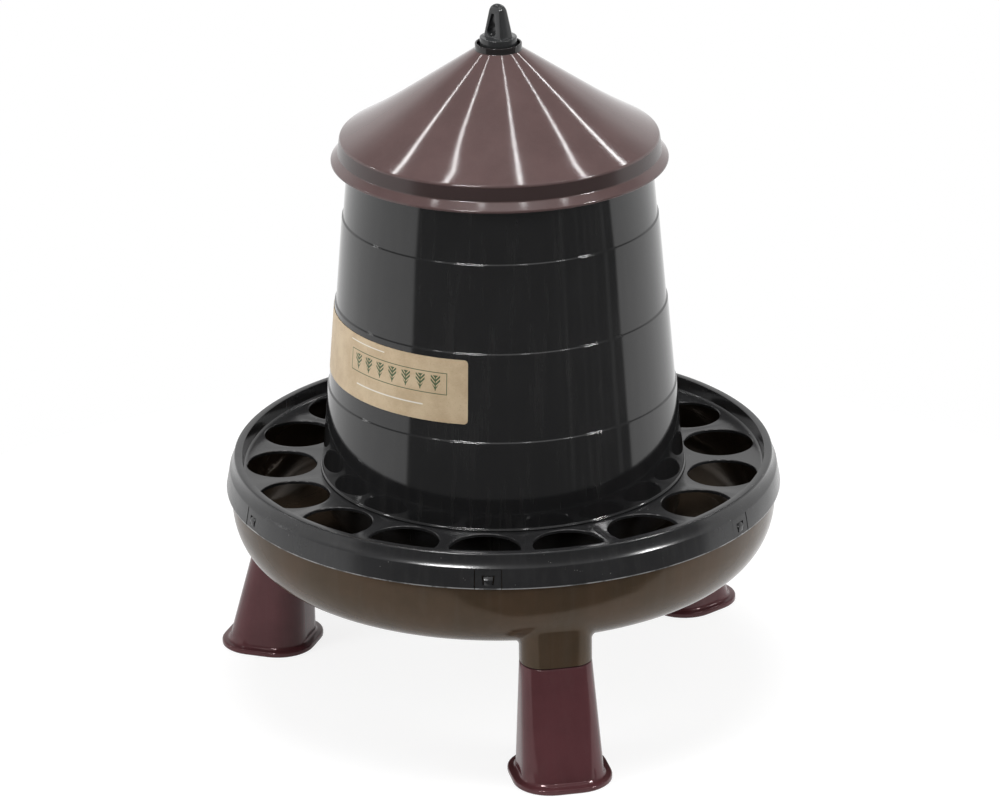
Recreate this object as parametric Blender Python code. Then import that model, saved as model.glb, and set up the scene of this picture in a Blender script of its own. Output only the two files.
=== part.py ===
"""A poultry feeder on three legs: tray, feeding ring with snap tongues, stepped hopper, lid and hanger.

Metres, +Z up. The origin is on the floor under the feeder's axis. An azimuth is counted from -Y towards +X.
"""

import math

import bmesh
import bpy
from mathutils import Matrix, Vector

# Clearances
GAP = 0.0003
RUNNING_GAP = 0.0003

# Legs
LEG_AZIMUTH = math.radians(11.7)
LEG_NAMES = ("leg_front", "leg_rear", "leg_left")
LEG_HEIGHT = 0.0876
LEG_WALL = 0.0025
LEG_TOP_WIDTH = 0.0532
LEG_TOP_DEPTH = 0.0384
LEG_TOP_CORNER = 0.0170
LEG_FOOT_WIDTH = 0.0620
LEG_FOOT_DEPTH = 0.0620
LEG_FOOT_CORNER = 0.0220
FOOT_THICKNESS = 0.0040
FOOT_MARGIN = 0.0060
FOOT_ROUNDING = 0.0010
LEG_SETBACK = 0.0439
SPIGOT_LENGTH = 0.0180
SPIGOT_WALL = 0.0022

# Tray
BOSS_DROP = 0.0151
TRAY_WALL = 0.0025
TRAY_DEPTH = 0.0550
TRAY_LEDGE = 0.0022
TRAY_DRAFT = 0.0005
TRAY_CORNER_WIDTH = 0.0341
TRAY_CORNER_HEIGHT = 0.0440
TRAY_RIM_GAP = 0.0006
CONE_RADIUS = 0.1180
CONE_HEIGHT = 0.0725
CONE_WALL = 0.0030
ROD_BOSS_RADIUS = 0.0140
ROD_BOSS_DEPTH = 0.0160
ROD_BOSS_RISE = 0.0040

# Feeding ring
SKIRT_RADIUS = 0.2105
SKIRT_HEIGHT = 0.0150
SKIRT_LEAN = 0.0028
RING_WALL = 0.0023
PLATE_HEIGHT = 0.0144
PLATE_THICKNESS = 0.0024
PLATE_FILLET = 0.0026
LIP_INSET = 0.0069
LIP_WIDTH = 0.0054
LIP_HEIGHT = 0.0255
LIP_EDGE = 0.0007
LIP_WALL_LEAN = 0.0005
HOLE_COUNT = 17
HOLE_MARGIN = 0.00305
HOLE_WEB = 0.0084
HOLE_AZIMUTH = math.radians(-4.9)

# Snap tongues of the ring and catch lugs of the tray
TONGUE_COUNT = 6
TONGUE_AZIMUTH = math.radians(-3.3)
TONGUE_WIDTH = 0.0193
TONGUE_TOP_BELOW_CREASE = 0.0006
TONGUE_SLOT = 0.0011
TONGUE_INSET = 0.0003
WINDOW_TOP_WIDTH = 0.0093
WINDOW_FOOT_WIDTH = 0.0078
WINDOW_FOOT_HEIGHT = 0.0032
WINDOW_HEIGHT = 0.0068
LUG_WIDTH = 0.0070
LUG_FOOT_GAP = 0.0010
LUG_HEIGHT = 0.0050

# Hopper
BARREL_RADIUS = 0.1380
BARREL_TOP_RADIUS = 0.1120
BARREL_WALL = 0.0024
HOPPER_HEIGHT = 0.2600
RIDGE_COUNT = 3
RIDGE_SPACING = 0.0667
RIDGE_STEP = 0.0008
FOOT_BEAD = 0.0006
FOOT_BEAD_HEIGHT = 0.0015
SEAT_WIDTH = 0.0034
SEAT_GAP = 0.0004
HOPPER_SPIGOT_LENGTH = 0.0287
SNAP_BEAD = 0.0012
SNAP_BEAD_HEIGHT = 0.0030
RIM_WIDTH = 0.0040
RIM_HEIGHT = 0.0045

# Lid
LID_WALL = 0.0022
LID_CLEARANCE = 0.0008
LID_WALL_HEIGHT = 0.0117
LID_WALL_LEAN = 0.0013
LID_CORNER = 0.0010
LID_SEAT_WIDTH = 0.0060
LID_BRIM_WIDTH = 0.0270
LID_BRIM_SLOPE = math.radians(29.7)
LID_CONE_SLOPE = math.radians(34.3)
FLANGE_WIDTH = 0.0052
FLANGE_DROP = 0.0053
FLANGE_LIP = 0.0016
COLLAR_RADIUS = 0.0174
COLLAR_WALL = 0.0014
COLLAR_HEIGHT = 0.0047

# Hanger
EYE_CLEARANCE = 0.0022
EYE_BASE_RISE = 0.0047
EYE_BASE_LENGTH = 0.0177
EYE_FOOT_RADIUS = 0.0101
EYE_HEAD_RADIUS = 0.0072
EYE_BODY_HEIGHT = 0.0185
EYE_DOME = 0.0062
EYE_THICKNESS = 0.0140
EYE_AZIMUTH = math.radians(-45.0)
SLOT_SILL = 0.0008
SLOT_HEIGHT = 0.0175
SLOT_FOOT_WIDTH = 0.0064
SLOT_HEAD_WIDTH = 0.0022
ROD_RADIUS = 0.0040
ROD_END = 0.0033
ROD_THREAD_DEPTH = 0.0160
NUT_ACROSS_FLATS = 0.0130
NUT_HEIGHT = 0.0065
WASHER_RADIUS = 0.0085
WASHER_THICKNESS = 0.0016

# Label
LABEL_RIGHT = math.radians(-11.4)
LABEL_LEFT = math.radians(-112.0)
LABEL_BELOW_RIDGE = 0.0043
LABEL_HEIGHT = 0.0485
LABEL_THICKNESS = 0.0004

# Facets
ROUND_STEPS = 48
HOLE_STEPS = 20
SMALL_STEPS = 16
CORNER_STEPS = 4
TRAY_CORNER_STEPS = 6
TONGUE_STEPS = 3
FILLET_STEPS = 2
SHARP_ANGLE = math.radians(35)

# Levels, from the floor up
BOSS_Z = LEG_HEIGHT + GAP
TRAY_Z = BOSS_Z + BOSS_DROP
SKIRT_Z = TRAY_Z + TRAY_DEPTH
PLATE_Z = SKIRT_Z + PLATE_HEIGHT
PLATE_UNDER_Z = PLATE_Z - PLATE_THICKNESS
CREASE_Z = SKIRT_Z + SKIRT_HEIGHT
LIP_Z = SKIRT_Z + LIP_HEIGHT
LIP_EDGE_Z = LIP_Z - LIP_EDGE
TONGUE_Z = CREASE_Z - TONGUE_TOP_BELOW_CREASE
TRAY_FLOOR_Z = TRAY_Z + TRAY_WALL
LEDGE_Z = SKIRT_Z - GAP
CONE_TOP_Z = TRAY_FLOOR_Z + CONE_HEIGHT
ROD_BOSS_Z = CONE_TOP_Z + ROD_BOSS_RISE
HOPPER_Z = PLATE_Z + GAP
RIM_Z = HOPPER_Z + HOPPER_HEIGHT
LID_SEAT_Z = RIM_Z + GAP
LID_EDGE_Z = LID_SEAT_Z + LID_CORNER

# Radii that follow from the pieces they meet
CREASE_RADIUS = SKIRT_RADIUS - SKIRT_LEAN
SKIRT_INNER_RADIUS = CREASE_RADIUS - RING_WALL
LIP_RADIUS = SKIRT_RADIUS - LIP_INSET
LIP_EDGE_RADIUS = LIP_RADIUS + LIP_EDGE
LIP_INNER_RADIUS = LIP_RADIUS - LIP_WIDTH
WELL_RADIUS = LIP_INNER_RADIUS - LIP_WALL_LEAN
TRAY_RADIUS = SKIRT_INNER_RADIUS - TRAY_RIM_GAP
LEDGE_RADIUS = TRAY_RADIUS + TRAY_LEDGE
LEG_RADIUS = TRAY_RADIUS - LEG_SETBACK
FOOT_BEAD_RADIUS = BARREL_RADIUS + FOOT_BEAD
HOLE_CIRCLE = (FOOT_BEAD_RADIUS + WELL_RADIUS) / 2
# The holes are as large as the plate's channel and the webs between them leave room for
HOLE_ROOM = (WELL_RADIUS - FOOT_BEAD_RADIUS) / 2 - HOLE_MARGIN
HOLE_SHARE = HOLE_CIRCLE * math.sin(math.pi / HOLE_COUNT) - HOLE_WEB / 2
HOLE_RADIUS = min(HOLE_ROOM, HOLE_SHARE)
SPIGOT_RADIUS = BARREL_RADIUS - SEAT_WIDTH
PLATE_BORE = SPIGOT_RADIUS + SEAT_GAP
RIM_RADIUS = BARREL_TOP_RADIUS + RIM_WIDTH
LID_INNER_RADIUS = RIM_RADIUS + LID_CLEARANCE
LID_RADIUS = LID_INNER_RADIUS + LID_WALL
COLLAR_BORE = COLLAR_RADIUS - COLLAR_WALL
EYE_BASE_RADIUS = COLLAR_BORE - EYE_CLEARANCE
ROD_BORE = ROD_RADIUS + RUNNING_GAP


def evenly(count, first):
    """Azimuths that share out a full turn, from the first one on."""
    return [first + math.tau * i / count for i in range(count)]


def tongue_radius(z):
    """Outer radius of the skirt at a height between its lower edge and its crease."""
    return SKIRT_RADIUS - SKIRT_LEAN * (z - SKIRT_Z) / SKIRT_HEIGHT


def flank_radius(z):
    """Outer radius of the ring's flank at a height between its crease and the lip's outer edge."""
    return CREASE_RADIUS - (CREASE_RADIUS - LIP_EDGE_RADIUS) * (z - CREASE_Z) / (LIP_EDGE_Z - CREASE_Z)


def barrel_radius(z):
    """Outer radius of the barrel's plain taper, before its steps."""
    neck_z = RIM_Z - RIM_HEIGHT
    return BARREL_RADIUS + (BARREL_TOP_RADIUS - BARREL_RADIUS) * (z - HOPPER_Z) / (neck_z - HOPPER_Z)


def lid_height(radius):
    """Height of the lid's outer face above its edge, at a distance from the axis."""
    brim = min(LID_RADIUS - radius, LID_BRIM_WIDTH)
    cone = LID_RADIUS - radius - brim
    return brim * math.tan(LID_BRIM_SLOPE) + cone * math.tan(LID_CONE_SLOPE)


# The tray's rim reaches up until it nearly meets the inner face of the ring's flank
TRAY_RIM_Z = CREASE_Z + (TRAY_RIM_GAP - GAP) * (LIP_EDGE_Z - CREASE_Z) / (CREASE_RADIUS - LIP_EDGE_RADIUS)

# Where legs and tongues stand, the tongues' hinges, windows and lugs, and the barrel's steps
LEG_AZIMUTHS = evenly(len(LEG_NAMES), LEG_AZIMUTH)
TONGUE_AZIMUTHS = evenly(TONGUE_COUNT, TONGUE_AZIMUTH)
HINGE_RADIUS = tongue_radius(TONGUE_Z) - TONGUE_INSET
WINDOW_Z = SKIRT_Z + WINDOW_FOOT_HEIGHT
LUG_Z = WINDOW_Z + LUG_FOOT_GAP
RIDGE_LEVELS = [HOPPER_Z + RIDGE_SPACING * (i + 1) for i in range(RIDGE_COUNT)]

# The lid's collar and the eye that stands in it
COLLAR_FOOT_Z = LID_EDGE_Z + lid_height(COLLAR_RADIUS)
COLLAR_Z = COLLAR_FOOT_Z + COLLAR_HEIGHT
EYE_BASE_Z = COLLAR_Z + EYE_BASE_RISE
EYE_UNDER_Z = EYE_BASE_Z - EYE_BASE_LENGTH

# The rod and what is threaded on it
ROD_TOP_Z = EYE_UNDER_Z + ROD_THREAD_DEPTH
EYE_NUT_Z = EYE_UNDER_Z - GAP - NUT_HEIGHT
UPPER_WASHER_Z = ROD_BOSS_Z + GAP
UPPER_NUT_Z = UPPER_WASHER_Z + WASHER_THICKNESS + GAP
ROD_BOSS_UNDER_Z = ROD_BOSS_Z - ROD_BOSS_DEPTH
LOWER_WASHER_Z = ROD_BOSS_UNDER_Z - GAP - WASHER_THICKNESS
LOWER_NUT_Z = LOWER_WASHER_Z - GAP - NUT_HEIGHT
ROD_BOTTOM_Z = LOWER_NUT_Z - ROD_END


def clear_scene():
    for obj in list(bpy.data.objects):
        bpy.data.objects.remove(obj, do_unlink=True)


def plastic(name, colour, roughness, metallic=0.0):
    material = bpy.data.materials.new(name)
    material.use_nodes = True
    shader = material.node_tree.nodes["Principled BSDF"]
    shader.inputs["Base Color"].default_value = (*colour, 1.0)
    shader.inputs["Roughness"].default_value = roughness
    shader.inputs["Metallic"].default_value = metallic
    return material


def polar(radius, azimuth, z):
    return Vector((radius * math.sin(azimuth), -radius * math.cos(azimuth), z))


def turn(bm, outline, steps, start=0.0, sweep=math.tau):
    """Turn a (radius, height) outline about the vertical axis, a full turn or a capped part of one.

    The outline is closed, unless it starts and ends on the axis.
    """
    verts = [bm.verts.new(polar(radius, start, z)) for radius, z in outline]
    on_axis = outline[0][0] == 0.0 and outline[-1][0] == 0.0
    pairs = list(zip(verts, verts[1:])) + ([] if on_axis else [(verts[-1], verts[0])])
    edges = [bm.edges.new(pair) for pair in pairs]
    full = sweep == math.tau
    bmesh.ops.spin(bm, geom=verts + edges, axis=(0, 0, 1), cent=(0, 0, 0),
                   angle=sweep, steps=steps, use_merge=full)
    if on_axis:
        bmesh.ops.remove_doubles(bm, verts=bm.verts, dist=1e-6)
    if not full:
        bmesh.ops.holes_fill(bm, edges=[e for e in bm.edges if e.is_boundary])


def loft(bm, rings, closed=False):
    """Join rings of points in order: capped at both ends, or the last joined back to the first."""
    loops = [[bm.verts.new(point) for point in ring] for ring in rings]
    followers = loops[1:] + loops[:1] if closed else loops[1:]
    for lower, upper in zip(loops, followers):
        for i in range(len(lower)):
            j = (i + 1) % len(lower)
            bm.faces.new((lower[i], lower[j], upper[j], upper[i]))
    if not closed:
        bm.faces.new(loops[0])
        bm.faces.new(loops[-1])
    return [vert for loop in loops for vert in loop]


def arc_points(centre, half_axes, start, end, steps):
    """Points on an ellipse's arc in a (radius, height) outline, from one angle to another."""
    angles = [start + (end - start) * i / steps for i in range(steps + 1)]
    return [(centre[0] + half_axes[0] * math.cos(a), centre[1] + half_axes[1] * math.sin(a)) for a in angles]


def rounded_outline(width, depth, corner, inner_radius, z, inset=0.0):
    """A rounded rectangle seen from above at azimuth 0, its inner side at inner_radius from the axis."""
    half_width = width / 2 - inset
    half_depth = depth / 2 - inset
    bend = corner - inset
    centre_y = -(inner_radius + depth / 2)
    points = []
    for quarter, (side, front) in enumerate(((1, 1), (-1, 1), (-1, -1), (1, -1))):
        for step in range(CORNER_STEPS + 1):
            angle = math.radians(90) * (quarter + step / CORNER_STEPS)
            x = side * (half_width - bend) + bend * math.cos(angle)
            y = front * (half_depth - bend) + bend * math.sin(angle)
            points.append(Vector((x, centre_y + y, z)))
    return points


def rotated_copies(bm, make, azimuths):
    """Run make(bm) once for each azimuth and turn what it made to that azimuth."""
    for azimuth in azimuths:
        before = set(bm.verts)
        make(bm)
        made = [vert for vert in bm.verts if vert not in before]
        bmesh.ops.rotate(bm, verts=made, cent=(0, 0, 0), matrix=Matrix.Rotation(azimuth, 3, "Z"))


def place(name, bm, material=None, location=(0, 0, 0), azimuth=0.0):
    """Make an object of the mesh, whose points are given about the object's own origin."""
    bmesh.ops.recalc_face_normals(bm, faces=bm.faces)
    mesh = bpy.data.meshes.new(name)
    bm.to_mesh(mesh)
    bm.free()
    if material:
        mesh.materials.append(material)
    mesh.shade_smooth()
    mesh.set_sharp_from_angle(angle=SHARP_ANGLE)
    obj = bpy.data.objects.new(name, mesh)
    obj.location = location
    obj.rotation_euler.z = azimuth
    bpy.context.collection.objects.link(obj)
    return obj


def combine(obj, tool, operation):
    """Cut the tool from an object or join it on; the tool itself isn't a piece."""
    tool.hide_render = True
    tool.display_type = "WIRE"
    tool.parent = obj
    tool.matrix_parent_inverse = obj.matrix_basis.inverted()
    modifier = obj.modifiers.new(tool.name, "BOOLEAN")
    modifier.operation = operation
    modifier.solver = "EXACT"
    modifier.object = tool


def leg_outline(z, width, depth, corner, inset):
    return rounded_outline(width, depth, corner, LEG_RADIUS, z, inset)


def make_legs(material):
    """Hollow legs: the inner side stands upright and the others spread towards a flanged foot."""
    top = (LEG_TOP_WIDTH, LEG_TOP_DEPTH, LEG_TOP_CORNER)
    foot = (LEG_FOOT_WIDTH, LEG_FOOT_DEPTH, LEG_FOOT_CORNER)
    rings = [
        leg_outline(LEG_HEIGHT, *top, LEG_WALL),
        leg_outline(LEG_HEIGHT, *top, 0.0),
        leg_outline(FOOT_THICKNESS, *foot, 0.0),
        leg_outline(FOOT_THICKNESS, *foot, FOOT_ROUNDING - FOOT_MARGIN),
        leg_outline(FOOT_THICKNESS - FOOT_ROUNDING, *foot, -FOOT_MARGIN),
        leg_outline(0.0, *foot, -FOOT_MARGIN),
        leg_outline(0.0, *foot, LEG_WALL),
    ]
    origin = Vector((0.0, -(LEG_RADIUS + LEG_TOP_DEPTH / 2), LEG_HEIGHT))
    for name, azimuth in zip(LEG_NAMES, LEG_AZIMUTHS):
        bm = bmesh.new()
        loft(bm, [[point - origin for point in ring] for ring in rings], closed=True)
        place(name, bm, material, Matrix.Rotation(azimuth, 3, "Z") @ origin, azimuth)


def tray_wall_outline(offset):
    """The tray's outer face from rim and ledge down to the floor, moved inwards by offset."""
    knee_radius = LEDGE_RADIUS - TRAY_DRAFT
    corner = arc_points(
        (knee_radius - TRAY_CORNER_WIDTH, TRAY_Z + TRAY_CORNER_HEIGHT),
        (TRAY_CORNER_WIDTH - offset, TRAY_CORNER_HEIGHT - offset),
        0.0, -math.pi / 2, TRAY_CORNER_STEPS)
    return [
        (TRAY_RADIUS - offset, TRAY_RIM_Z),
        (TRAY_RADIUS - offset, LEDGE_Z - offset),
        (LEDGE_RADIUS - offset, LEDGE_Z - offset),
        *corner,
    ]


def cone_z(radius):
    """Height of the centre cone's upper face."""
    return TRAY_FLOOR_Z + CONE_HEIGHT * (CONE_RADIUS - radius) / (CONE_RADIUS - ROD_BOSS_RADIUS)


def make_tray(material):
    """The bowl with its centre cone; leg bosses below it, catch lugs on its rim."""
    slope = CONE_HEIGHT / (CONE_RADIUS - ROD_BOSS_RADIUS)
    cone_drop = CONE_WALL * math.sqrt(1 + slope ** 2)
    cone_under_radius = CONE_RADIUS - (cone_drop - TRAY_WALL) / slope
    inner = tray_wall_outline(TRAY_WALL)
    centre_top = [(CONE_RADIUS, TRAY_FLOOR_Z), (ROD_BOSS_RADIUS, CONE_TOP_Z), (ROD_BOSS_RADIUS, ROD_BOSS_Z)]
    centre_under = [
        (ROD_BORE, ROD_BOSS_Z),
        (ROD_BORE, ROD_BOSS_UNDER_Z),
        (ROD_BOSS_RADIUS, ROD_BOSS_UNDER_Z),
        (ROD_BOSS_RADIUS, cone_z(ROD_BOSS_RADIUS) - cone_drop),
        (cone_under_radius, TRAY_Z),
    ]
    bm = bmesh.new()
    turn(bm, inner + centre_top + centre_under + tray_wall_outline(0.0)[::-1], ROUND_STEPS)
    tray = place("tray", bm, material)

    def boss(bm):
        size = (LEG_TOP_WIDTH, LEG_TOP_DEPTH, LEG_TOP_CORNER)
        top = TRAY_Z + TRAY_CORNER_HEIGHT
        loft(bm, [leg_outline(BOSS_Z, *size, 0.0), leg_outline(top, *size, 0.0)])

    def spigot(bm):
        size = (LEG_TOP_WIDTH, LEG_TOP_DEPTH, LEG_TOP_CORNER)
        inset = LEG_WALL + RUNNING_GAP
        loft(bm, [leg_outline(BOSS_Z - SPIGOT_LENGTH, *size, inset), leg_outline(TRAY_Z, *size, inset)])

    def hollow(bm):
        size = (LEG_TOP_WIDTH, LEG_TOP_DEPTH, LEG_TOP_CORNER)
        inset = LEG_WALL + RUNNING_GAP + SPIGOT_WALL
        loft(bm, [leg_outline(BOSS_Z - 2 * SPIGOT_LENGTH, *size, inset), leg_outline(TRAY_Z, *size, inset)])

    def lug(bm):
        back = TRAY_RADIUS - TRAY_WALL / 2
        front = tongue_radius(LUG_Z) - TONGUE_INSET
        shoulder = (front + 2 * TRAY_RADIUS) / 3
        outline = [
            (back, LUG_Z),
            (front, LUG_Z),
            (front, LUG_Z + LUG_HEIGHT / 2),
            (shoulder, LUG_Z + LUG_HEIGHT),
            (back, LUG_Z + LUG_HEIGHT),
        ]
        sides = (-LUG_WIDTH / 2, LUG_WIDTH / 2)
        loft(bm, [[Vector((x, -radius, z)) for radius, z in outline] for x in sides])

    def tool(name, make, azimuths):
        bm = bmesh.new()
        rotated_copies(bm, make, azimuths)
        return place(name, bm)

    bowl = bmesh.new()
    bowl_top = [(0.0, 2 * LIP_Z), (TRAY_RADIUS - TRAY_WALL, 2 * LIP_Z)]
    turn(bowl, [*bowl_top, *inner, *centre_top, (0.0, ROD_BOSS_Z)], ROUND_STEPS)
    combine(tray, tool("tray_boss_blanks", boss, LEG_AZIMUTHS), "UNION")
    combine(tray, place("tray_bowl_space", bowl), "DIFFERENCE")
    combine(tray, tool("tray_spigot_blanks", spigot, LEG_AZIMUTHS), "UNION")
    combine(tray, tool("tray_boss_hollows", hollow, LEG_AZIMUTHS), "DIFFERENCE")
    combine(tray, tool("tray_lug_blanks", lug, TONGUE_AZIMUTHS), "UNION")


def make_feeding_ring(material):
    """Plate with feed holes, a well wall up to the lip, and a flank down to the skirt."""
    lip_under_z = LIP_Z - RING_WALL
    lip_edge = arc_points((LIP_RADIUS, LIP_EDGE_Z), (LIP_EDGE, LIP_EDGE), math.pi / 2, 0.0, FILLET_STEPS)
    fillet = arc_points((WELL_RADIUS - PLATE_FILLET, PLATE_Z + PLATE_FILLET), (PLATE_FILLET, PLATE_FILLET),
                        -math.pi / 2, 0.0, FILLET_STEPS)
    outline = [
        (PLATE_BORE, PLATE_Z),
        *fillet,
        (LIP_INNER_RADIUS, LIP_Z),
        *lip_edge,
        (CREASE_RADIUS, CREASE_Z),
        (SKIRT_RADIUS, SKIRT_Z),
        (SKIRT_RADIUS - RING_WALL, SKIRT_Z),
        (SKIRT_INNER_RADIUS, CREASE_Z),
        (flank_radius(lip_under_z) - RING_WALL, lip_under_z),
        (LIP_INNER_RADIUS + RING_WALL, lip_under_z),
        (WELL_RADIUS + RING_WALL, PLATE_UNDER_Z),
        (PLATE_BORE, PLATE_UNDER_Z),
    ]
    bm = bmesh.new()
    turn(bm, outline, ROUND_STEPS)
    ring = place("feeding_ring", bm, material)

    def hole(bm):
        centre = Matrix.Translation((0.0, -HOLE_CIRCLE, PLATE_Z - PLATE_THICKNESS / 2))
        bmesh.ops.create_cone(bm, cap_ends=True, segments=HOLE_STEPS, radius1=HOLE_RADIUS,
                              radius2=HOLE_RADIUS, depth=3 * PLATE_THICKNESS, matrix=centre)

    def notch(bm):
        half = TONGUE_WIDTH / 2 + TONGUE_SLOT
        inner = TRAY_RADIUS - RING_WALL
        outer = SKIRT_RADIUS + RING_WALL
        corners = [(-half, -outer), (half, -outer), (half, -inner), (-half, -inner)]
        levels = (SKIRT_Z - RING_WALL, TONGUE_Z + GAP)
        loft(bm, [[Vector((x, y, z)) for x, y in corners] for z in levels])

    holes = bmesh.new()
    rotated_copies(holes, hole, evenly(HOLE_COUNT, HOLE_AZIMUTH))
    combine(ring, place("feed_hole_cutters", holes), "DIFFERENCE")
    notches = bmesh.new()
    rotated_copies(notches, notch, TONGUE_AZIMUTHS)
    combine(ring, place("tongue_notch_cutters", notches), "DIFFERENCE")


def make_clip_tongues(material):
    """Snap tongues that follow the skirt, each hung from its upper outer edge, with a window for the lug."""
    hinge = Vector((0.0, -HINGE_RADIUS, TONGUE_Z))
    foot_radius = SKIRT_RADIUS - TONGUE_INSET
    outline = [
        (HINGE_RADIUS, TONGUE_Z),
        (foot_radius, SKIRT_Z),
        (foot_radius - RING_WALL, SKIRT_Z),
        (HINGE_RADIUS - RING_WALL, TONGUE_Z),
    ]
    sweep = TONGUE_WIDTH / SKIRT_RADIUS
    window = [
        (-WINDOW_FOOT_WIDTH / 2, WINDOW_Z),
        (WINDOW_FOOT_WIDTH / 2, WINDOW_Z),
        (WINDOW_TOP_WIDTH / 2, WINDOW_Z + WINDOW_HEIGHT),
        (-WINDOW_TOP_WIDTH / 2, WINDOW_Z + WINDOW_HEIGHT),
    ]
    depths = (-(SKIRT_RADIUS + RING_WALL), -(HINGE_RADIUS - 2 * RING_WALL))
    for number, azimuth in enumerate(TONGUE_AZIMUTHS, 1):
        bm = bmesh.new()
        turn(bm, outline, TONGUE_STEPS, start=-sweep / 2, sweep=sweep)
        bmesh.ops.translate(bm, verts=bm.verts, vec=-hinge)
        location = Matrix.Rotation(azimuth, 3, "Z") @ hinge
        tongue = place(f"clip_tongue_{number}", bm, material, location, azimuth)
        bm = bmesh.new()
        loft(bm, [[Vector((x, y, z)) - hinge for x, z in window] for y in depths])
        cutter = place(f"clip_window_cutter_{number}", bm, None, location, azimuth)
        combine(tongue, cutter, "DIFFERENCE")


def make_hopper(material):
    """Barrel open at both ends, stepped at each ridge, seated on the plate by a spigot with a snap bead."""
    spigot_z = PLATE_UNDER_Z - GAP
    spigot_inner = SPIGOT_RADIUS - BARREL_WALL
    neck_z = RIM_Z - RIM_HEIGHT
    outer = [
        (SPIGOT_RADIUS, HOPPER_Z - HOPPER_SPIGOT_LENGTH),
        (SPIGOT_RADIUS, spigot_z - SNAP_BEAD_HEIGHT),
        (SPIGOT_RADIUS + SNAP_BEAD, spigot_z - SNAP_BEAD / 2),
        (SPIGOT_RADIUS, spigot_z),
        (SPIGOT_RADIUS, HOPPER_Z),
        (FOOT_BEAD_RADIUS, HOPPER_Z),
        (FOOT_BEAD_RADIUS, HOPPER_Z + FOOT_BEAD_HEIGHT / 2),
        (barrel_radius(HOPPER_Z + FOOT_BEAD_HEIGHT), HOPPER_Z + FOOT_BEAD_HEIGHT),
    ]
    for z in RIDGE_LEVELS:
        outer.append((barrel_radius(z) + RIDGE_STEP / 2, z))
        outer.append((barrel_radius(z) - RIDGE_STEP / 2, z + RIDGE_STEP))
    outer += [(BARREL_TOP_RADIUS, neck_z - RIM_WIDTH / 2), (RIM_RADIUS, neck_z), (RIM_RADIUS, RIM_Z)]
    inner = [(BARREL_TOP_RADIUS - BARREL_WALL, RIM_Z)]
    inner += [(barrel_radius(z) - BARREL_WALL, z) for z in (neck_z, HOPPER_Z + 2 * SEAT_WIDTH)]
    inner += [(spigot_inner, HOPPER_Z), (spigot_inner, HOPPER_Z - HOPPER_SPIGOT_LENGTH)]
    bm = bmesh.new()
    turn(bm, outer + inner, ROUND_STEPS)
    place("hopper", bm, material)


def make_label(material):
    """A paper sticker bent round the barrel, just below its middle ridge."""
    top = RIDGE_LEVELS[1] - LABEL_BELOW_RIDGE
    foot = top - LABEL_HEIGHT
    step = RIDGE_STEP / 2 + GAP
    outline = [
        (barrel_radius(top) + step, top),
        (barrel_radius(foot) + step, foot),
        (barrel_radius(foot) + step + LABEL_THICKNESS, foot),
        (barrel_radius(top) + step + LABEL_THICKNESS, top),
    ]
    bm = bmesh.new()
    turn(bm, outline, ROUND_STEPS // 3, start=LABEL_LEFT, sweep=LABEL_RIGHT - LABEL_LEFT)
    place("label", bm, material)


def make_lid(material):
    """Cone with a collar on top, and a short wall and flange that reach over the hopper's rim."""
    brim_radius = LID_RADIUS - LID_BRIM_WIDTH
    wall_foot_z = LID_EDGE_Z - LID_WALL_HEIGHT
    wall_foot_radius = LID_RADIUS + LID_WALL_LEAN
    flange_radius = wall_foot_radius + FLANGE_WIDTH
    flange_z = wall_foot_z - FLANGE_DROP
    drop = LID_WALL / math.cos(LID_CONE_SLOPE)
    seat_inner = LID_INNER_RADIUS - LID_SEAT_WIDTH

    def under(radius):
        return (radius, LID_EDGE_Z + lid_height(radius) - drop)

    outline = [
        (COLLAR_BORE, COLLAR_Z),
        (COLLAR_RADIUS, COLLAR_Z),
        (COLLAR_RADIUS, COLLAR_FOOT_Z),
        (brim_radius, LID_EDGE_Z + lid_height(brim_radius)),
        (LID_RADIUS - LID_CORNER, LID_EDGE_Z + lid_height(LID_RADIUS - LID_CORNER)),
        (LID_RADIUS, LID_EDGE_Z - LID_CORNER),
        (wall_foot_radius, wall_foot_z),
        (flange_radius, flange_z),
        (flange_radius, flange_z - FLANGE_LIP),
        (flange_radius - LID_WALL, flange_z - FLANGE_LIP),
        (wall_foot_radius - LID_WALL, wall_foot_z - LID_WALL / 2),
        (LID_INNER_RADIUS, LID_SEAT_Z),
        (seat_inner, LID_SEAT_Z),
        under(seat_inner - LID_CORNER),
        under(brim_radius),
        under(COLLAR_BORE),
    ]
    origin = Vector((0.0, 0.0, LID_SEAT_Z))
    bm = bmesh.new()
    turn(bm, outline, ROUND_STEPS)
    bmesh.ops.translate(bm, verts=bm.verts, vec=-origin)
    place("lid", bm, material, origin)


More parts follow.
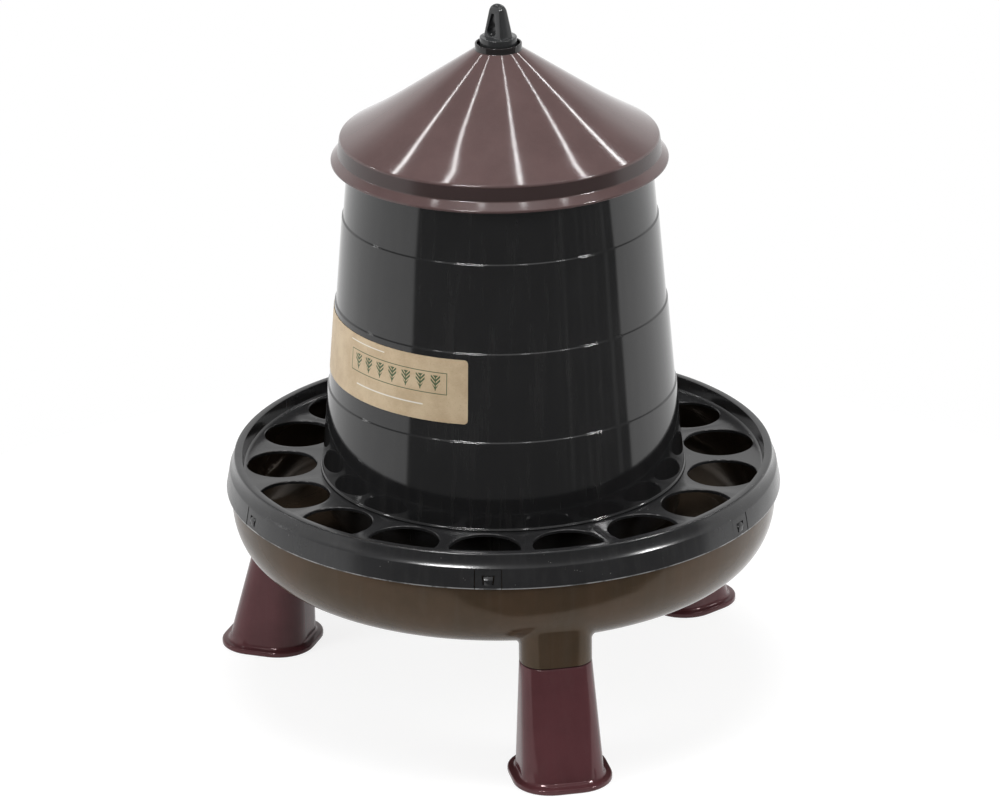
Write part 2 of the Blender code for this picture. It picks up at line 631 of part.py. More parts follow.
def make_hanger_eye(material):
    """Round base with a flattened tapering head, slotted for the hanging cord, bored for the rod."""
    body_top = EYE_BASE_Z + EYE_BODY_HEIGHT
    dome = arc_points((0.0, body_top), (EYE_HEAD_RADIUS, EYE_DOME), math.pi / 2, 0.0, CORNER_STEPS)
    dome[0] = (0.0, body_top + EYE_DOME)
    outline = [
        *dome,
        (EYE_FOOT_RADIUS, EYE_BASE_Z),
        (EYE_BASE_RADIUS, EYE_BASE_Z),
        (EYE_BASE_RADIUS, EYE_UNDER_Z),
        (ROD_BORE, EYE_UNDER_Z),
        (ROD_BORE, ROD_TOP_Z + GAP),
        (0.0, ROD_TOP_Z + GAP),
    ]
    origin = Vector((0.0, 0.0, EYE_UNDER_Z))
    bm = bmesh.new()
    turn(bm, outline, SMALL_STEPS)
    bmesh.ops.translate(bm, verts=bm.verts, vec=-origin)
    eye = place("hanger_eye", bm, material, origin, EYE_AZIMUTH)

    flats = bmesh.new()
    for side in (-1, 1):
        near = side * EYE_THICKNESS / 2
        far = side * 2 * EYE_BASE_RADIUS
        wide = 2 * EYE_BASE_RADIUS
        corners = [(-wide, near), (wide, near), (wide, far), (-wide, far)]
        levels = (EYE_BASE_Z, body_top + 2 * EYE_DOME)
        loft(flats, [[Vector((x, y, z)) - origin for x, y in corners] for z in levels])
    combine(eye, place("eye_flat_cutters", flats, None, origin, EYE_AZIMUTH), "DIFFERENCE")

    sill_z = EYE_BASE_Z + SLOT_SILL
    sill = arc_points((0.0, sill_z + SLOT_FOOT_WIDTH / 2), (SLOT_FOOT_WIDTH / 2, SLOT_FOOT_WIDTH / 2),
                      -math.pi, 0.0, CORNER_STEPS)
    head_z = sill_z + SLOT_HEIGHT
    slot = sill + [(SLOT_HEAD_WIDTH / 2, head_z), (-SLOT_HEAD_WIDTH / 2, head_z)]
    bm = bmesh.new()
    loft(bm, [[Vector((x, y, z)) - origin for x, z in slot] for y in (-EYE_BASE_RADIUS, EYE_BASE_RADIUS)])
    combine(eye, place("eye_slot_cutter", bm, None, origin, EYE_AZIMUTH), "DIFFERENCE")


def make_rod(material):
    bm = bmesh.new()
    turn(bm, [(0.0, ROD_TOP_Z), (ROD_RADIUS, ROD_TOP_Z), (ROD_RADIUS, ROD_BOTTOM_Z), (0.0, ROD_BOTTOM_Z)],
         SMALL_STEPS)
    place("hanger_rod", bm, material)


def make_nut(name, z, material):
    """A hexagon nut round the rod; its thread is a plain running bore."""
    bm = bmesh.new()
    hexagon = [polar(NUT_ACROSS_FLATS / math.sqrt(3), azimuth, 0.0) for azimuth in evenly(6, 0.0)]
    loft(bm, [hexagon, [point + Vector((0.0, 0.0, NUT_HEIGHT)) for point in hexagon]])
    nut = place(name, bm, material, (0.0, 0.0, z))
    bm = bmesh.new()
    bmesh.ops.create_cone(bm, cap_ends=True, segments=SMALL_STEPS, radius1=ROD_BORE, radius2=ROD_BORE,
                          depth=2 * NUT_HEIGHT, matrix=Matrix.Translation((0.0, 0.0, NUT_HEIGHT / 2)))
    combine(nut, place(f"{name}_bore", bm, None, (0.0, 0.0, z)), "DIFFERENCE")


def make_washer(name, z, material):
    top = WASHER_THICKNESS
    bm = bmesh.new()
    turn(bm, [(ROD_BORE, 0.0), (WASHER_RADIUS, 0.0), (WASHER_RADIUS, top), (ROD_BORE, top)], SMALL_STEPS)
    place(name, bm, material, (0.0, 0.0, z))


def main():
    clear_scene()
    maroon = plastic("maroon_plastic", (0.100, 0.030, 0.034), 0.25)
    taupe = plastic("taupe_plastic", (0.160, 0.120, 0.090), 0.30)
    brown = plastic("brown_plastic", (0.140, 0.095, 0.090), 0.20)
    ring_black = plastic("ring_black_plastic", (0.030, 0.030, 0.032), 0.35)
    black = plastic("black_plastic", (0.014, 0.014, 0.015), 0.18)
    kraft = plastic("kraft_paper", (0.480, 0.350, 0.190), 0.70)
    steel = plastic("zinc_steel", (0.560, 0.560, 0.570), 0.35, 1.0)
    make_legs(maroon)
    make_tray(taupe)
    make_feeding_ring(ring_black)
    make_clip_tongues(ring_black)
    make_hopper(black)
    make_label(kraft)
    make_lid(brown)
    make_hanger_eye(ring_black)
    make_rod(steel)
    make_nut("eye_lock_nut", EYE_NUT_Z, steel)
    make_nut("rod_upper_nut", UPPER_NUT_Z, steel)
    make_nut("rod_lower_nut", LOWER_NUT_Z, steel)
    make_washer("rod_upper_washer", UPPER_WASHER_Z, steel)
    make_washer("rod_lower_washer", LOWER_WASHER_Z, steel)


main()
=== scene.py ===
"""Looks of a poultry feeder on three legs: tray, feeding ring, stepped hopper, lid and hanger.

Metres, +Z up, the origin on the floor under the feeder's axis. An azimuth is counted from -Y towards +X.
"""

from math import cos, hypot, pi, radians, sin, sqrt, tau

import bmesh
import bpy
from mathutils import Matrix, Vector


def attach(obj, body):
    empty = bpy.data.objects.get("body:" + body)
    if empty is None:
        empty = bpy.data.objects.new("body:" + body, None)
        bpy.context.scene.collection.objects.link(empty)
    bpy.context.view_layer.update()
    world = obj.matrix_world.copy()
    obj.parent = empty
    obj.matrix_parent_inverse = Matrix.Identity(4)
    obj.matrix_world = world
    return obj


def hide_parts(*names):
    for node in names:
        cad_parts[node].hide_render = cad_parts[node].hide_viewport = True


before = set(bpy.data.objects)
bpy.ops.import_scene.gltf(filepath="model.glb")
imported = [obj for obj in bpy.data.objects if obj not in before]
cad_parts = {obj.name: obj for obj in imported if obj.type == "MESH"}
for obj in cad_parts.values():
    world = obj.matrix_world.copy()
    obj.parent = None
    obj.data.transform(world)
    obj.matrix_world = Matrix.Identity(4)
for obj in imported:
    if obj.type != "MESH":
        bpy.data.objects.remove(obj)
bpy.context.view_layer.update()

# Camera, from the photograph's perspective
LENS = 176.02
SENSOR = 36.0
CAMERA_PLACE = (-0.0019, -3.43902, 1.58561)
CAMERA_PITCH = 0.377516
CAMERA_ROLL = -0.011911

# Tray: rim, ledge under the skirt, curved wall, flat floor and centre cone
BOSS_Z = 0.0879
TRAY_Z = 0.1030
TRAY_FLOOR_Z = 0.1055
TRAY_WALL = 0.0025
TRAY_RIM_Z = 0.1738
TRAY_RADIUS = 0.2048
LEDGE_RADIUS = 0.2070
LEDGE_Z = 0.1577
KNEE_RADIUS = 0.2065
KNEE_Z = 0.1470
CORNER_WIDTH = 0.0341
CORNER_HEIGHT = 0.0440
CONE_RADIUS = 0.1180
CONE_TOP_Z = 0.1780
CONE_DROP = 0.003657
CONE_FOOT_RADIUS = 0.1164
ROD_BOSS_RADIUS = 0.0140
ROD_BOSS_Z = 0.1820
ROD_BOSS_UNDER_Z = 0.1660
ROD_BORE = 0.0043
THREAD_PITCH = 0.00125

# Legs and the bosses that they plug onto
LEG_RADIUS = 0.1609
LEG_TOP = (0.0532, 0.0384, 0.0170)
LEG_FOOT = (0.0620, 0.0620, 0.0220)
LEG_HEIGHT = 0.0876
LEG_WALL = 0.0025
FOOT_THICKNESS = 0.0040
FOOT_MARGIN = 0.0060
FOOT_FILLET = 0.0022
FOOT_EDGE = 0.0012
FOOT_UNDER_EDGE = 0.0006
BOSS_FILLET = 0.0040
BOSS_SINK = 0.0002
SPIGOT_LENGTH = 0.0180
SPIGOT_WALL = 0.0022
SPIGOT_GAP = 0.0003
SPIGOT_LEAD = (0.0008, 0.0015)
LEG_AZIMUTHS = {"leg_front": 11.7, "leg_rear": 131.7, "leg_left": 251.7}

# Feeding ring: plate, well wall, lip, hollowed flank and skirt
RING_WALL = 0.0023
PLATE_Z = 0.1724
PLATE_THICKNESS = 0.0024
PLATE_BORE = 0.1350
WELL_RADIUS = 0.1977
WELL_FILLET = 0.0026
LIP_Z = 0.1835
LIP_INNER_RADIUS = 0.1982
LIP_RADIUS = 0.2036
FLANK_RADIUS = 0.20545
FLANK_Z = 0.1774
CREASE_RADIUS = 0.2077
CREASE_Z = 0.1730
SKIRT_RADIUS = 0.2105
SKIRT_Z = 0.1580
HOLE_COUNT = 17
HOLE_RADIUS = 0.0265
HOLE_CIRCLE = 0.16815
HOLE_AZIMUTH = radians(-4.9)
HOLE_CHAMFER = 0.0005
DRILL_DEPTH = 0.012
NOTCH_CUTTER = (0.016, 0.030)

# Snap tongues and catch lugs
TONGUE_COUNT = 6
TONGUE_AZIMUTH = radians(-3.3)
TONGUE_WIDTH = 0.0193
TONGUE_SLOT = 0.0005
TONGUE_Z = 0.1724
TONGUE_TOP_GAP = 0.0003
LUG_TOP_WIDTH = 0.0074
LUG_FOOT_WIDTH = 0.0058
LUG_Z = 0.1609
LUG_HEIGHT = 0.0066
LUG_STEEP_SHARE = 0.62
LUG_SLOPE = 0.0022
LUG_SINK = 0.0002
LUG_BEVEL = 0.0004

# Hopper
BARREL_RADIUS = 0.1380
BARREL_TOP_RADIUS = 0.1120
BARREL_WALL = 0.0024
HOPPER_Z = 0.1727
RIM_Z = 0.4327
RIM_HEIGHT = 0.0045
RIM_RADIUS = 0.1160
RIDGE_LEVELS = (0.2394, 0.3061, 0.3728)
RIDGE_STEP = 0.0011
JUST_ABOVE = 0.0001
FOOT_BEAD = 0.0006
FOOT_BEAD_HEIGHT = 0.0010
FOOT_BEAD_TOP = 0.0016
NECK_HEIGHT = 0.0020
HOPPER_THROAT = 0.0070
SPIGOT_RADIUS = 0.1346
SPIGOT_FOOT_Z = 0.1440

# Label
LABEL_LEFT = radians(-112.0)
LABEL_RIGHT = radians(-11.4)
LABEL_FOOT_Z = 0.2533
LABEL_TOP_Z = 0.3018
LABEL_CORNER = 0.0030
LABEL_THICKNESS = 0.0003
LABEL_GAP = 0.0001

# Print on the label, in metres from its lower left corner: the frame's left, right, foot and top, the
# sprigs inside it, and two plain lines, each a middle, a height, half a length and half a thickness
PRINT_FRAME = (0.1150, 0.2080, 0.0208, 0.0375)
PRINT_LINE = 0.0006
SPRIG_COUNT = 7
SPRIG_SIDE_GAP = 0.0030
SPRIG_FOOT_GAP = 0.0025
PLAIN_LINES = ((0.1560, 0.0118, 0.0330, 0.0005), (0.1330, 0.0438, 0.0200, 0.0004))

# Lid
LID_RADIUS = 0.1190
LID_WALL = 0.0022
LID_SLOPE = radians(34)
LID_EDGE_Z = 0.4340
LID_CORNER = (0.0006, 0.0003, 0.0010)
LID_BRIM_RADIUS = 0.0920
LID_BRIM_Z = 0.4494
LID_BRIM_BEND = 0.0160
LID_BRIM_SLOPE = 0.573
LID_COLLAR_RADIUS = 0.0174
LID_COLLAR_BORE = 0.0160
LID_COLLAR_FOOT_Z = 0.5003
LID_COLLAR_Z = 0.5050
LID_COLLAR_RISE = 0.0010
LID_WALL_FOOT_RADIUS = 0.1203
LID_WALL_FOOT_Z = 0.4223
LID_FLANGE_RADIUS = 0.1255
LID_FLANGE_Z = 0.4170
LID_FLANGE_LIP = 0.0016
LID_SEAT_RADIUS = 0.1108
LID_SEAT_Z = 0.4330
LID_INNER_RADIUS = 0.1168

# Hanging eye
EYE_AZIMUTH = radians(-45.0)
EYE_BASE_RADIUS = 0.0138
EYE_UNDER_Z = 0.4920
EYE_BASE_Z = 0.5097
EYE_TOP_Z = 0.5344
EYE_CAP = 0.0015
EYE_SINK = 0.0006
EYE_SHOULDER = 0.80
EYE_ROUNDNESS = 3.2
EYE_CORNERS = (0.34, 0.5)
EYE_WIDE = 0.0098
EYE_TAPER = 0.0048
EYE_FLATNESS = 0.65
EYE_SLOT_FOOT = 0.0088
EYE_SLOT_SHIFT = 0.0012
EYE_SLOT_HEAD = 0.0026
EYE_SLOT_HEIGHT = 0.0172
EYE_SLOT_RAISE = 0.0005
EYE_SLOT_REACH = 0.02
EYE_BEVEL = 0.00045

# How far from a corner its rounding starts, and the least turn that is rounded on the ring and the lid
TRAY_ROUNDING = 0.0010
RING_ROUNDING = 0.0005
BARREL_ROUNDING = 0.0006
LID_ROUNDING = 0.0006
EYE_ROUNDING = 0.0008
BOSS_ROUNDING = 0.0004
SLIGHT_CORNER = radians(14)

# Floor: its radius and height, and its dark part in gloss: how far ahead of the axis it begins, a point
# and the slope of the line that ends it at the side, and how soft its edges are. FLOOR_FADE is how far to
# either side the floor's tone in gloss runs from one to the other.
FLOOR_RADIUS = 0.62
FLOOR_Z = -0.0003
FLOOR_EDGE = 0.315
FLOOR_SIDE = (-0.019, -0.347, 1.232)
FLOOR_SOFTNESS = (0.012, 0.010)
FLOOR_FADE = 0.25

# Room that gloss mirrors: azimuths in degrees where its dark front begins and ends, and how soft they are
DARK_FRONT = (-63.0, 89.0)
DARK_FRONT_SOFTNESS = 1.5

# Lamps: their distance, the heights that they face, the strips over the lid, each given by directions to
# two points of it, and the directions of the lamps that make the flange's glints
LAMP_DISTANCE = 3.0
LAMP_AIM_Z = 0.30
STRIP_AIM_Z = 0.46
STRIP_SIZE = (1.10, 0.05)
STRIPS = (
    ((-0.500, 0.395, 0.770), (-0.420, 0.470, 0.775)),
    ((-0.300, 0.150, 0.940), (-0.225, 0.257, 0.940)),
    ((0.115, 0.068, 0.990), (0.100, 0.210, 0.970)),
    ((0.434, 0.270, 0.860), (0.357, 0.360, 0.860)),
    ((0.530, 0.530, 0.660), (0.460, 0.586, 0.667)),
)
FLANGE_GLINTS = (
    (-0.481, -0.232, 0.845),
    (-0.145, -0.389, 0.910),
    (0.180, -0.382, 0.907),
    (0.474, -0.237, 0.848),
)

# Patterns of moulded plastic, in waves per metre, and how far each is stretched along Z
MOTTLE_WAVES = 26.0
STREAK_WAVES = 150.0
STREAK_STRETCH = 0.035
GRAIN_WAVES = 900.0
SCUFF_WAVES = 70.0
SCUFF_STRETCH = 5.0
SPECK_WAVES = 420.0
SPECK_GROUPS = 260.0
# The next pattern breaks up the painted highlight along the ring's skirt foot
PAINTED_FOOT_WAVES = 55.0
SWELL_WAVES = 22.0
SWELL_STRETCH = 0.12

ROUND_STEPS = 180
FINE_ROUND_STEPS = 240
EYE_ROUND_STEPS = 64
EYE_LEVELS = 16
EYE_CORNER_STEPS = 6
HOLE_STEPS = 72
BOWL_STEPS = 22
CORNER_STEPS = 9
FILLET_STEPS = 8
FOOT_STEPS = 5
BRIM_STEPS = 8
LABEL_END_STEPS = 6
LABEL_MIDDLE_STEPS = 90
LABEL_LEVELS = 6
QUARTER = radians(90)
SMOOTH_ANGLE = radians(32)
MERGE_DISTANCE = 0.000002
WHITE = (1.0, 1.0, 1.0, 1.0)
BLACK = (0.0, 0.0, 0.0, 1.0)


def adding(operation, swapped=False):
    """A method that adds a Math node, its two inputs swapped or not."""
    def method(self, other):
        return self.nodes.maths(operation, *((other, self) if swapped else (self, other)))
    return method


class Value:
    """One output of a node. Arithmetic on it adds Math nodes to the same tree."""

    def __init__(self, nodes, socket):
        self.nodes = nodes
        self.socket = socket

    __add__, __radd__ = adding("ADD"), adding("ADD", True)
    __sub__, __rsub__ = adding("SUBTRACT"), adding("SUBTRACT", True)
    __mul__, __rmul__ = adding("MULTIPLY"), adding("MULTIPLY", True)
    __truediv__ = adding("DIVIDE")

    def __neg__(self):
        return self.nodes.maths("MULTIPLY", self, -1.0)

    def __abs__(self):
        return self.nodes.maths("ABSOLUTE", self)


class Nodes:
    """A node tree whose nodes are all added by one method."""

    def __init__(self, tree):
        self.tree = tree
        tree.nodes.clear()

    def add(self, kind, sockets=None, output=0, **settings):
        node = self.tree.nodes.new(kind)
        for name, value in settings.items():
            setattr(node, name, value)
        for key, value in (sockets or {}).items():
            for one in value if isinstance(value, list) else [value]:
                if isinstance(one, Value):
                    self.tree.links.new(one.socket, node.inputs[key])
                else:
                    node.inputs[key].default_value = one
        return Value(self, node.outputs[output]) if node.outputs else node

    def maths(self, operation, *values):
        return self.add("ShaderNodeMath", dict(enumerate(values)), operation=operation)

    def step(self, value, low, high):
        """0 below low, 1 above high, and smooth between them."""
        return self.add("ShaderNodeMapRange", {"Value": value, "From Min": low, "From Max": high},
                        interpolation_type="SMOOTHSTEP")

    def mix(self, share, first, second):
        return self.add("ShaderNodeMix", {0: share, 6: first, 7: second}, output=2, data_type="RGBA")

    def place(self, scale=(1.0, 1.0, 1.0)):
        """Object coordinates, stretched along the axes."""
        place = self.add("ShaderNodeTexCoord", output="Object")
        return self.add("ShaderNodeMapping", {"Vector": place, "Scale": scale})

    def noise(self, place, scale, detail, roughness=0.5):
        return self.add("ShaderNodeTexNoise", {
            "Vector": place, "Scale": scale, "Detail": detail, "Roughness": roughness})

    def split(self, vector):
        node = self.add("ShaderNodeSeparateXYZ", {0: vector}).socket.node
        return [Value(self, node.outputs[i]) for i in range(3)]

    def bump(self, height, distance, after=None):
        sockets = {"Height": height, "Distance": distance}
        if after:
            sockets["Normal"] = after
        return self.add("ShaderNodeBump", sockets)


def shade(tone, colour):
    """A colour made lighter or darker by one factor, as a node colour."""
    return (*(tone * part for part in colour), 1.0)


def new_material(name):
    material = bpy.data.materials.new(name)
    material.use_nodes = True
    return material, Nodes(material.node_tree)


def finish_material(nodes, sockets, **constants):
    """End a material in a Principled shader, with its constants on the shader's own sockets."""
    values = {**{name.replace("_", " ").title(): value for name, value in constants.items()}, **sockets}
    if "Ior" in values:
        values["IOR"] = values.pop("Ior")
    shader = nodes.add("ShaderNodeBsdfPrincipled", values)
    nodes.add("ShaderNodeOutputMaterial", {"Surface": shader})


def moulded_plastic(name, colour, gloss, wear, streaks, grain=0.00002, specks=0.0, wave=0.0, lean=0.0,
                    tint=None, cap=None, painted_foot_light_and_shade=None, dull_painted_shade_under=None, painted_shade_inside=False, ior=1.50,
                    gleam=WHITE):
    """Moulded recycled plastic: mottled colour, flow streaks down the piece, pale specks, a faint skin.

    wave: depth of the wall's slow swell. lean: how much steeper the face looks than it is. tint: colour
    that the mottling tends to. cap: radius, height and colour of a part round the axis in another colour.
    painted_foot_light_and_shade: height under which the foot is painted another colour, that colour,
    and how patchy it is: a painted highlight along the ring's skirt foot, painted shade in the gap at
    the foot of the tray's leg bosses. dull_painted_shade_under: height under which an upright wall is
    duller, its colour darkened as painted shade. painted_shade_inside: faces towards the axis or up are
    darkened as painted shade.
    gleam: tint of what the face mirrors.
    """
    material, nodes = new_material(name)
    place = nodes.place()
    x, y, z = nodes.split(place)
    mottle = nodes.noise(place, MOTTLE_WAVES, 4.0, 0.6)
    streak = nodes.noise(nodes.place((1.0, 1.0, STREAK_STRETCH)), STREAK_WAVES, 3.0, 0.65)
    fine = nodes.noise(place, GRAIN_WAVES, 2.0, 0.6)
    scuff = nodes.noise(nodes.place((1.0, 1.0, SCUFF_STRETCH)), SCUFF_WAVES, 5.0, 0.75)
    low, high = shade(1.0 - wear, colour), shade(1.0 + wear, tint or colour)
    paint = nodes.mix(nodes.step(mottle, 0.30, 0.70), low, high)
    paint = nodes.mix(nodes.step(streak, 0.45, 0.75) * streaks, paint, (0.22, 0.21, 0.20, 1.0))
    paint = nodes.mix(nodes.step(fine, 0.40, 0.80) * 0.12, paint, shade(1.5, colour))
    roughness = gloss + (mottle - 0.5) * 0.04 + nodes.step(scuff, 0.60, 0.78) * 0.05
    if specks:
        cells = nodes.add("ShaderNodeTexVoronoi", {"Vector": place, "Scale": SPECK_WAVES},
                          output="Distance")
        chosen = nodes.step(nodes.noise(place, SPECK_GROUPS, 0.0), 0.71, 0.75)
        dots = (1.0 - nodes.step(cells, 0.10, 0.20)) * chosen
        paint = nodes.mix(dots * specks, paint, (0.42, 0.41, 0.39, 1.0))
    if cap:
        reach, foot, cap_colour = cap
        inside = 1.0 - nodes.step(nodes.maths("SQRT", x * x + y * y), reach - 0.0001, reach + 0.0001)
        inside = inside * nodes.step(z, foot - 0.0002, foot + 0.0002)
        paint = nodes.mix(inside, paint, shade(1.0, cap_colour))
    if painted_foot_light_and_shade:
        # Painted light at the foot: a lighter colour here is a painted highlight, a darker one painted
        # shade
        height, painted_foot_colour, patchy = painted_foot_light_and_shade
        patches = nodes.step(nodes.noise(place, PAINTED_FOOT_WAVES, 4.0, 0.7), 0.40, 0.56)
        foot = (1.0 - nodes.step(z, height - 0.0001, height + 0.0002)) * (1.0 - patchy * (1.0 - patches))
        paint = nodes.mix(foot, paint, shade(1.0, painted_foot_colour))
    if painted_shade_inside:
        # Painted shade: faces towards the axis or up, inside the tray, are darkened in colour
        level = nodes.add("ShaderNodeVectorMath", {0: place, 1: (1.0, 1.0, 0.0)}, operation="MULTIPLY")
        outwards = nodes.add("ShaderNodeVectorMath", {0: level}, operation="NORMALIZE")
        out_x, out_y, _ = nodes.split(outwards)
        side, ahead, above = nodes.split(nodes.add("ShaderNodeNewGeometry", output="Normal"))
        inside = nodes.step(above - (side * out_x + ahead * out_y) * 0.5, 0.05, 0.25)
        paint = nodes.mix(inside * 0.62, paint, (0.012, 0.010, 0.008, 1.0))
    if dull_painted_shade_under:
        # Under the lid's brim the wall is duller, and its colour is darkened as painted shade
        dull_painted_shade = 1.0 - nodes.step(z, dull_painted_shade_under - 0.0012, dull_painted_shade_under)
        dull_painted_shade = dull_painted_shade * nodes.step(z, LID_WALL_FOOT_Z - 0.0005, LID_WALL_FOOT_Z + 0.0010)
        roughness = roughness + dull_painted_shade * 0.14
        paint = nodes.mix(dull_painted_shade * 0.85, paint, shade(0.34, colour))
    skin = nodes.bump(fine, grain)
    if wave:
        swell = nodes.noise(nodes.place((1.0, 1.0, SWELL_STRETCH)), SWELL_WAVES, 1.0)
        skin = nodes.bump(swell, wave, after=skin)
    if lean:
        skin = nodes.bump(z, lean, after=skin)
    finish_material(nodes, {"Base Color": paint, "Roughness": roughness, "Normal": skin}, ior=ior,
                    specular_tint=gleam)
    return material


def kraft_paper(name):
    """Brown kraft paper with fibres and a printed green frame that holds a row of grain sprigs."""
    material, nodes = new_material(name)
    across, up, _ = nodes.split(nodes.add("ShaderNodeTexCoord", output="UV"))
    place = nodes.place()
    fibre = nodes.noise(nodes.place((1.0, 1.0, 9.0)), 420.0, 4.0, 0.7)
    cloud = nodes.noise(place, 60.0, 3.0, 0.6)
    fleck = nodes.step(nodes.noise(place, 1500.0, 1.0), 0.64, 0.72)
    paint = nodes.mix(nodes.step(cloud, 0.30, 0.70), (0.545, 0.405, 0.250, 1.0), (0.660, 0.518, 0.340, 1.0))
    paint = nodes.mix(nodes.step(fibre, 0.35, 0.75) * 0.35, paint, (0.74, 0.61, 0.43, 1.0))
    paint = nodes.mix(fleck * 0.45, paint, (0.36, 0.24, 0.13, 1.0))

    def band(value, centre, half, soft=0.00012):
        return 1.0 - nodes.step(abs(value - centre), half - soft, half + soft)

    left, right, foot, top = PRINT_FRAME

    def framed(inset):
        return (band(across, (left + right) / 2, (right - left) / 2 - inset)
                * band(up, (foot + top) / 2, (top - foot) / 2 - inset))

    pitch = (right - left - 2 * SPRIG_SIDE_GAP) / SPRIG_COUNT
    near = nodes.maths("PINGPONG", across - (left + SPRIG_SIDE_GAP), pitch / 2) / (pitch / 2)
    rise = (up - (foot + SPRIG_FOOT_GAP)) / (top - foot - 2 * SPRIG_FOOT_GAP)
    stalk = (1.0 - nodes.step(1.0 - near, 0.05, 0.09)) * band(rise, 0.5, 0.5, 0.02)
    row = nodes.maths("PINGPONG", rise - (1.0 - near) * 0.55, 0.125) / 0.125
    leaf = nodes.step(row, 0.34, 0.46) * nodes.step(near, 0.36, 0.44) * band(rise, 0.53, 0.46, 0.02)
    leaf = leaf * nodes.step(rise - (1.0 - near) * 0.9, 0.02, 0.06)
    between = band(across, (left + right) / 2, (right - left) / 2 - 0.0020)
    green = framed(0.0) - framed(PRINT_LINE) + (stalk * 0.9 + leaf) * between
    green = nodes.add("ShaderNodeClamp", {"Value": green})
    for middle, height, half_length, half_thickness in PLAIN_LINES:
        line = band(up, height, half_thickness) * band(across, middle, half_length)
        paint = nodes.mix(line * 0.80, paint, (0.92, 0.90, 0.84, 1.0))
    paint = nodes.mix(green * 0.92, paint, (0.030, 0.088, 0.032, 1.0))
    finish_material(nodes, {"Base Color": paint, "Roughness": 0.47 - green * 0.10,
                            "Normal": nodes.bump(fibre, 0.00003)}, ior=1.45)
    return material


def zinc_steel(name, pitch=0.0):
    """Zinc-plated steel, with a thread of the given pitch where it has one."""
    material, nodes = new_material(name)
    place = nodes.place()
    spangle = nodes.noise(place, 380.0, 3.0, 0.6)
    paint = nodes.mix(nodes.step(spangle, 0.3, 0.7), (0.44, 0.45, 0.46, 1.0), (0.62, 0.62, 0.61, 1.0))
    skin = nodes.bump(spangle, 0.00002)
    if pitch:
        x, y, z = nodes.split(place)
        turn = nodes.maths("ARCTAN2", x, y) / tau
        thread = nodes.maths("PINGPONG", z / pitch + turn, 0.5) * 2.0
        skin = nodes.bump(thread, 0.0006, after=skin)
        # The thread's grooves are darkened in colour as painted shade
        paint = nodes.mix(thread, (0.22, 0.22, 0.22, 1.0), paint)
    roughness = 0.30 + spangle * 0.16
    finish_material(nodes, {"Base Color": paint, "Roughness": roughness, "Normal": skin}, metallic=1.0)
    return material


def polar(radius, azimuth, z):
    return Vector((radius * sin(azimuth), -radius * cos(azimuth), z))


def arc(centre, half_axes, start, end, steps):
    """Points on an ellipse's arc in a (radius, height) outline, angles in degrees."""
    (radius, height), (wide, high) = centre, half_axes
    angles = [radians(start + (end - start) * i / steps) for i in range(steps + 1)]
    return [(radius + wide * cos(angle), height + high * sin(angle)) for angle in angles]


def curve_at(share, start, bend, end):
    """A place on the curve that leaves start towards bend and comes from there to end."""
    return (1 - share) ** 2 * start + 2 * share * (1 - share) * bend + share ** 2 * end


def curve(start, bend, end, steps):
    """The (radius, height) points of such a curve."""
    coordinates = list(zip(start, bend, end))
    return [tuple(curve_at(i / steps, *three) for three in coordinates) for i in range(steps + 1)]


def softened(outline, radius, steps=3, least=radians(24)):
    """A closed outline with a small curve for each corner that turns by at least the given angle.

    The curve starts radius from the corner. A corner on the axis stays, so that the turned shell closes.
    """
    points = [Vector(p) for p in outline]
    soft = []
    for before, corner, after in zip(points[-1:] + points[:-1], points, points[1:] + points[:1]):
        back, ahead = before - corner, after - corner
        doubled = back.length < 1e-9 or ahead.length < 1e-9
        if corner.x == 0.0 or doubled or pi - back.angle(ahead) < least:
            soft.append(tuple(corner))
            continue
        start = corner + back.normalized() * min(radius, back.length * 0.45)
        end = corner + ahead.normalized() * min(radius, ahead.length * 0.45)
        soft += [tuple(curve_at(i / steps, start, corner, end)) for i in range(steps + 1)]
    return soft


def new_tree(name, inputs):
    """A geometry node tree with named inputs, its nodes still to be added."""
    tree = bpy.data.node_groups.new(name, "GeometryNodeTree")
    tree.interface.new_socket("Geometry", in_out="OUTPUT", socket_type="NodeSocketGeometry")
    for label, kind in inputs.items():
        tree.interface.new_socket(label, in_out="INPUT", socket_type=f"NodeSocket{kind}")
    nodes = Nodes(tree)
    source = nodes.add("NodeGroupInput").socket.node
    return tree, nodes, {label: Value(nodes, source.outputs[label]) for label in inputs}


def end_tree(nodes, geometry, material):
    geometry = nodes.add("GeometryNodeRealizeInstances", {0: geometry})
    geometry = nodes.add("GeometryNodeSetMaterial", {"Geometry": geometry, "Material": material})
    nodes.add("NodeGroupOutput", {0: geometry})


